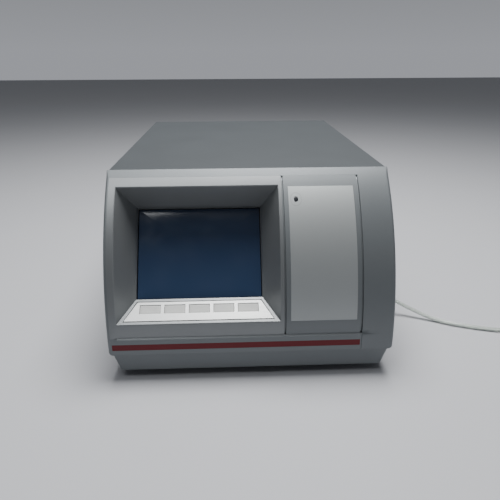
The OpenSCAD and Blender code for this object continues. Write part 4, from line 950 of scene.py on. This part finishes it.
def build_strip():
    """The strip: rows lead from its edge in to a line along its middle."""
    depth, ends, slack = 0.0012, 0.003, 0.00015
    mid = (STRIP_LO.z + STRIP_HI.z) / 2
    rim = box_outline(STRIP_LO, STRIP_HI, 0.0, 60, 4)
    middle = rectangle(STRIP_LO.x + ends, STRIP_HI.x - ends, mid - slack, mid + slack,
                       60, 4)
    line = coords(middle[:, 0], middle[:, 1].mean())
    points = np.concatenate([
        on_arc(rim, depth)[None], on_arc(between(rim, middle, 4)), on_arc(line)[None]])
    make_piece("red_strip", [patch(points, wrap=True)], [finish("strip")], "strip_red",
               ("accent_strip",), facing=FRONT, edge=0.0002)


# ---------- Display and keys ----------

ROUND = 0.0004


def slab(outline, inner, top, bottom, matrix, crown=0.0):
    """A closed slab with a rounded upper edge: loops from the lower middle out, up the side
    and in to the upper middle, which may be sunk a little."""
    centre = outline.mean(axis=0) + 0 * outline
    rows = [raised(centre, bottom), raised(outline, bottom), raised(outline, top - ROUND)]
    for turn in np.radians([30, 60, 90]):
        pull = 1 - math.cos(turn)
        rows.append(raised(outline + (inner - outline) * pull,
                           top - ROUND + ROUND * math.sin(turn)))
    for share in (0.35, 0.7, 1.0):
        rows.append(raised(inner + (centre - inner) * share,
                           top - crown * (1 - (1 - share) ** 2)))
    return patch(placed(matrix, np.stack(rows)), wrap=True)


def build_screen():
    """The glass: a slab behind the screen's opening, wider by its overlap."""
    d, overlap, thick, corner = settings("display"), 0.0038, 0.002, 0.002
    half_x, half_y = d.screen_width / 2 + overlap, d.screen_height / 2 + overlap
    seat = screen_frame() @ Matrix.Translation((0, d.screen_height / 2, 0))
    outline = rounded_rectangle(half_x, half_y, corner)
    inner = rounded_rectangle(half_x - ROUND, half_y - ROUND, corner - ROUND)
    make_piece("screen_glass", [slab(outline, inner, -d.rim, -d.rim - thick, seat)],
               [finish("screen")], "screen_dark", ("touch_glass",))


def build_key_plate():
    """A lattice through the windows' edges, with slanted ends; the windows are left out."""
    k = settings("keys")
    low = (PLATE_HI.x - PLATE_LO.x) / 2
    first = -(k.count - 1) / 2 * k.pitch
    stops = [first + i * k.pitch + s * k.width / 2 for i in range(k.count) for s in (-1, 1)]
    v = lines([k.plate_bottom, k.place - k.height / 2, k.place + k.height / 2,
               k.plate_top], 0.004)
    inner = lines(stops, 0.007)
    ends = (low + (k.plate_half_top - low) * (v - v[0]) / (v[-1] - v[0]))[:, None]
    x = np.concatenate([-ends, np.broadcast_to(inner, (len(v), len(inner))), ends], axis=1)
    points = coords(x, v[:, None], k.plate - k.pocket)
    mid = (points[:-1, :-1] + points[1:, 1:]) / 2
    column = np.abs((mid[..., 0] - first + k.pitch / 2) % k.pitch - k.pitch / 2)
    window = (column < k.width / 2) & (np.abs(mid[..., 1] - k.place) < k.height / 2)
    window &= np.abs(mid[..., 0]) < -first + k.width / 2
    make_piece("bright_key_plate",
               [patch(placed(ledge_frame(), points), left_out=window)], [finish("plate")],
               "plate_silver", ("key_plate",), facing=(0, -1, 1), wall=k.plate,
               edge=0.0002)


def build_keys():
    """Each key is a cap with rounded corners and a slightly hollow face, on the flange that
    holds it behind the ledge."""
    k = settings("keys")
    half_x, half_y = k.width / 2 - k.gap, k.height / 2 - k.gap
    top = k.plate - k.pocket - k.sink
    low = -k.depth + k.skirt
    outline = rounded_rectangle(half_x, half_y, k.corner)
    inner = rounded_rectangle(half_x - ROUND, half_y - ROUND, k.corner - ROUND)
    wide = rounded_rectangle(half_x + k.flange, half_y + k.flange, k.corner)
    ring = np.stack([
        raised(outline, low), raised(wide, low), raised(wide, low + k.flange_height),
        raised(outline, low + k.flange_height), raised(outline, low)])
    for i in range(k.count):
        x = (i - (k.count - 1) / 2) * k.pitch
        seat = ledge_frame() @ Matrix.Translation((x, k.place, 0))
        node = "key_%d" % (i + 1)
        make_piece("key_cap_%d" % (i + 1),
                   [slab(outline, inner, top, -k.depth, seat, crown=0.00012),
                    patch(placed(seat, ring), wrap=True)],
                   [finish("key")], "key_grey", (node,), body=node)


# ---------- Hose ----------

HOSE_ROUTE = [
    (0.175, -0.100, 0.046), (0.1805, -0.100, 0.046), (0.1865, -0.1001, 0.0454),
    (0.1924, -0.1005, 0.0432), (0.1975, -0.1013, 0.0394), (0.2016, -0.1021, 0.0344),
    (0.2049, -0.103, 0.029), (0.209, -0.1044, 0.0243), (0.2146, -0.1067, 0.0206),
    (0.2215, -0.1098, 0.0173), (0.230, -0.114, 0.0139), (0.2395, -0.119, 0.0106),
    (0.249, -0.1243, 0.0075), (0.259, -0.130, 0.0048), (0.270, -0.1363, 0.0032),
    (0.283, -0.1435, 0.0028), (0.299, -0.1505, 0.0028), (0.317, -0.157, 0.0028),
    (0.336, -0.1625, 0.0028), (0.355, -0.166, 0.0028), (0.371, -0.1675, 0.0034),
    (0.3865, -0.1675, 0.0034)]
COIL_X = 0.392
COIL_CLIMB = math.radians(90)
TURN_POINTS = 48


def smooth_route(points, steps):
    """Catmull-Rom curve through the points."""
    p = np.concatenate([points[:1], points, points[-1:]])
    a, b, c, d = (p[i:len(p) - 3 + i][:, None] for i in range(4))
    t = (np.arange(steps) / steps)[None, :, None]
    curve = 0.5 * (2 * b + (c - a) * t + (2 * a - 5 * b + 4 * c - d) * t ** 2
                   + (3 * b - a - 3 * c + d) * t ** 3)
    return np.concatenate([curve.reshape(-1, 3), points[-1:]])


def coil_line(h, centre):
    """The coil: its radius falls steadily over the lower layer's turns and grows again over
    the upper one's, and it climbs one pitch in the half turn between them."""
    layer = 2 * math.pi * h.coil_turns
    a = np.linspace(0, 2 * layer, 2 * h.coil_turns * TURN_POINTS + 1)
    radius = h.coil_radius - h.coil_pitch * np.minimum(a, 2 * layer - a) / (2 * math.pi)
    lift = h.coil_pitch * np.clip((a - layer + COIL_CLIMB) / (2 * COIL_CLIMB), 0, 1)
    return centre + coords(radius * np.sin(a), radius * np.cos(a), lift)


def swept(path, radius, inner, count):
    """Circles square to the path, carried along it: each centre plus r (cos a, sin a) of
    two directions square to the path. The bore's circles close the tube at both ends."""
    ahead = np.gradient(path, axis=0)
    ahead /= np.linalg.norm(ahead, axis=1)[:, None]
    side = np.cross(ahead, [0, 0, 1.0])
    side /= np.linalg.norm(side, axis=1)[:, None]
    top = np.cross(side, ahead)
    a = np.linspace(0, 2 * math.pi, count, endpoint=False)[None, :, None]
    around = side[:, None] * np.cos(a) + top[:, None] * np.sin(a)
    outer = path[:, None] + radius * around
    bore = path[:, None] + inner * around
    return np.concatenate([outer, bore[::-1], outer[:1]])


def build_hose():
    """The hose: its free run and its coil as one tube, with its connector and its tie."""
    h = settings("hose")
    free = smooth_route(np.array(HOSE_ROUTE), 5)
    centre = np.array([COIL_X, HOSE_ROUTE[-1][1] - h.coil_radius, HOSE_ROUTE[-1][2]])
    coil = coil_line(h, centre)
    end = coil[-1] + [h.diameter, 0, 0]
    path = np.concatenate([free[:-1], [coil[0] - [h.diameter / 2, 0, 0]], coil, [end]])
    tube = patch(swept(path, h.diameter / 2, h.bore / 2, 16), wrap=True)
    hose = make_piece("clear_waste_hose", [tube], [finish("hose")], "hose_clear",
                      ("waste_hose", "hose_coil"))
    tie = finished_copy("hose_tie", finish("black"), "black_plastic", 0.00015)
    plug = finished_copy("hose_connector", finish("port"), "tube_white", 0.0004)


# ---------- Cabinet, sides and rear ----------

COPIES = [
    ("hood", "hood", "hood_grey", 0.0003),
    ("hood_screws", "screw", "steel", 0.0004),
    ("rubber_feet", "rubber", "rubber_black", 0.0009),
    ("foot_screws", "screw", "steel", 0.0003),
    ("base_tray", "sheet", "panel_steel", 0.0003),
    ("rear_panel", "rear", "panel_steel", 0.0003),
    ("rear_screws", "screw", "steel", 0.0004),
    ("mains_inlet", "black", "black_plastic", 0.0004),
    ("inlet_pins", "brass", "contact_brass", 0.0002),
    ("fuse_drawer", "black", "black_plastic", 0.0003),
    ("power_rocker", "black", "black_plastic", 0.0004),
    ("fan_frame", "dark_fan", "black_plastic", 0.0004),
    ("fan_rotor", "dark_fan", "black_plastic", 0.0002),
    ("serial_port", "alloy", "steel", 0.0002),
    ("data_ports", "alloy", "steel", 0.0002),
    ("inlet_adapter", "port", "tube_white", 0.0004),
    ("outlet_adapter", "port", "tube_white", 0.0004),
]

DRESSED = {
    "fan_guard": "screw",
    "key_board": "board", "key_switches": "black", "lcd_module": "lcd",
    "lcd_frame": "sheet", "front_bulkhead": "sheet", "display_board": "board",
    "main_board": "board", "board_pillars": "brass", "power_supply": "sheet",
    "heat_sink": "alloy", "peltier_modules": "ceramic", "cell_block": "alloy",
    "cell_cover": "foam", "cell_head": "port", "glass_jacket": "glass",
    "u_tube": "glass", "temp_probe": "screw", "port_bracket": "sheet",
    "adapter_nuts": "screw", "fill_tubes": "hose", "air_pump": "black",
    "drying_cartridge": "amber",
}


def dress_nodes():
    """Gives the nodes that are shown as they are their materials."""
    for name, finish_name in DRESSED.items():
        node = frame["nodes"][name]
        if not node.material_slots:
            raise RuntimeError("%s has no material slot" % name)
        for slot in node.material_slots:
            slot.link = "OBJECT"
            slot.material = finish(finish_name)


# ---------- Studio ----------

# Name, place, aim, diameter, watts and colour of each soft light
LIGHTS = [
    ("top_light", (0.10, 0.12, 1.5), (0, -0.1, 0), 0.9, 48, (1.0, 1.0, 1.0)),
    ("front_light", (-0.55, -0.80, 1.8), (0, -0.15, 0.15), 0.7, 7.0, (0.97, 0.99, 1.0))]
# Height of the view's direction from 0 below to 1 above, and the sky's colour there
SKY = [(0.50, (0.34, 0.35, 0.38)), (0.56, (0.26, 0.27, 0.29)),
       (0.64, (0.11, 0.115, 0.125)), (0.88, (0.12, 0.125, 0.135)),
       (1.0, (0.40, 0.41, 0.42))]


def build_world():
    """A room that is pale at the floor's level, dark above it and bright overhead."""
    world = bpy.data.worlds.new("studio_world")
    bpy.context.scene.world = world
    world.use_nodes = True
    tree = world.node_tree
    aim = tree.nodes.new("ShaderNodeTexCoord").outputs["Generated"]
    height = add_node(tree, "ShaderNodeSeparateXYZ", {"Vector": aim}).outputs["Z"]
    ramp = add_node(tree, "ShaderNodeValToRGB", {
        "Fac": ranged(tree, height, 0.0, 1.0, -1.0, 1.0)})
    stops = ramp.color_ramp.elements
    while len(stops) < len(SKY):
        stops.new(0.5)
    for stop, (place, tint) in zip(stops, SKY):
        stop.position = place
        stop.color = (*tint, 1)
    set_inputs(tree, tree.nodes["Background"], {
        "Color": ramp.outputs["Color"], "Strength": 1.0})


def build_studio():
    """Floor, lights and camera, which looks as the photograph does."""
    s = settings("studio")
    floor = bpy.data.meshes.new("floor")
    reach, below = 6.0, 0.0002
    edge = np.linspace(-reach, reach, 13)
    points, quads, _ = patch(coords(*np.meshgrid(edge, edge), -below))
    floor.from_pydata(points.tolist(), [], quads.tolist())
    floor.materials.append(finish("floor"))
    table = add_object("floor", floor)
    build_world()
    for name, place, aim, size, power, tint in LIGHTS:
        light = bpy.data.lights.new(name, "AREA")
        light.shape = "DISK"
        light.size = size
        light.energy = power
        light.color = tint
        lamp = add_object(name, light)
        lamp.location = place
        lamp.rotation_euler = (Vector(aim) - Vector(place)).to_track_quat(
            "-Z", "Y").to_euler()
    ahead = Vector((math.sin(s.yaw) * math.cos(s.pitch),
                    math.cos(s.yaw) * math.cos(s.pitch), -math.sin(s.pitch)))
    right = Vector((math.cos(s.yaw), -math.sin(s.yaw), 0))
    down = ahead.cross(right)
    level_right = math.cos(s.roll) * right + math.sin(s.roll) * down
    level_down = -math.sin(s.roll) * right + math.cos(s.roll) * down
    turn = Matrix((level_right, -level_down, -ahead)).transposed()
    camera = add_object("camera", bpy.data.cameras.new("camera"))
    camera.matrix_world = Matrix.Translation(s.camera) @ turn.to_4x4()
    camera.data.lens = s.lens
    camera.data.sensor_width = 36
    camera.data.clip_start = 0.01
    bpy.context.scene.camera = camera


# ---------- Operators ----------

class METER_OT_studio(Operator):
    """Adds the floor, the lights and the camera"""
    bl_idname = "meter.studio"
    bl_label = "Studio"

    def execute(self, context):
        build_studio()
        return {"FINISHED"}


class METER_OT_hose(Operator):
    """Adds the clear waste hose with its coil, connector and tie"""
    bl_idname = "meter.hose"
    bl_label = "Waste Hose"

    def execute(self, context):
        build_hose()
        return {"FINISHED"}


class METER_OT_shells(Operator):
    """Adds the bezel, the chin and the strip between them"""
    bl_idname = "meter.shells"
    bl_label = "Bezel and Chin"

    def execute(self, context):
        build_bezel()
        build_chin()
        build_strip()
        return {"FINISHED"}


class METER_OT_display(Operator):
    """Adds the display insert, its screen, the key plate and the keys"""
    bl_idname = "meter.display"
    bl_label = "Display and Keys"

    def execute(self, context):
        build_insert()
        build_screen()
        build_key_plate()
        build_keys()
        return {"FINISHED"}


class METER_OT_side_panel(Operator):
    """Adds the right-hand panel, its label plate and its lamp"""
    bl_idname = "meter.side_panel"
    bl_label = "Right-hand Panel"

    def execute(self, context):
        build_grooves()
        build_panel()
        build_label()
        build_lamp()
        return {"FINISHED"}


class METER_OT_cabinet(Operator):
    """Finishes the hood, the feet, the ports and everything on the rear"""
    bl_idname = "meter.cabinet"
    bl_label = "Cabinet and Rear"

    def execute(self, context):
        for node, finish_name, slot, edge in COPIES:
            finished_copy(node, finish(finish_name), slot, edge)
        return {"FINISHED"}


class METER_OT_inside(Operator):
    """Gives the pieces inside the cabinet their materials"""
    bl_idname = "meter.inside"
    bl_label = "Inside"

    def execute(self, context):
        dress_nodes()
        return {"FINISHED"}


STEPS = (METER_OT_studio, METER_OT_hose, METER_OT_shells, METER_OT_display,
         METER_OT_side_panel, METER_OT_cabinet, METER_OT_inside)
GROUPS = {"cabinet": CabinetSizes, "front": FrontSizes, "display": DisplaySizes,
          "keys": KeySizes, "lamp": LampSizes, "hose": HoseSizes,
          "colours": FinishColours, "studio": StudioSettings}


class METER_PT_panel(Panel):
    """Lists the steps that build the density meter"""
    bl_label = "Density Meter"
    bl_idname = "METER_PT_panel"
    bl_space_type = "VIEW_3D"
    bl_region_type = "UI"
    bl_category = "Density Meter"

    def draw(self, context):
        for step in STEPS:
            self.layout.operator(step.bl_idname)


def register():
    for group in GROUPS.values():
        bpy.utils.register_class(group)
    for name, group in GROUPS.items():
        setattr(bpy.types.Scene, "meter_" + name, PointerProperty(type=group))
    for step in (*STEPS, METER_PT_panel):
        bpy.utils.register_class(step)


def unregister():
    for step in reversed((*STEPS, METER_PT_panel)):
        bpy.utils.unregister_class(step)
    for name in GROUPS:
        delattr(bpy.types.Scene, "meter_" + name)
    for group in reversed(GROUPS.values()):
        bpy.utils.unregister_class(group)


def main():
    register()
    bpy.ops.meter.studio()
    bpy.ops.meter.hose()
    bpy.ops.meter.shells()
    bpy.ops.meter.display()
    bpy.ops.meter.side_panel()
    bpy.ops.meter.cabinet()
    bpy.ops.meter.inside()


if __name__ == "__main__":
    main()
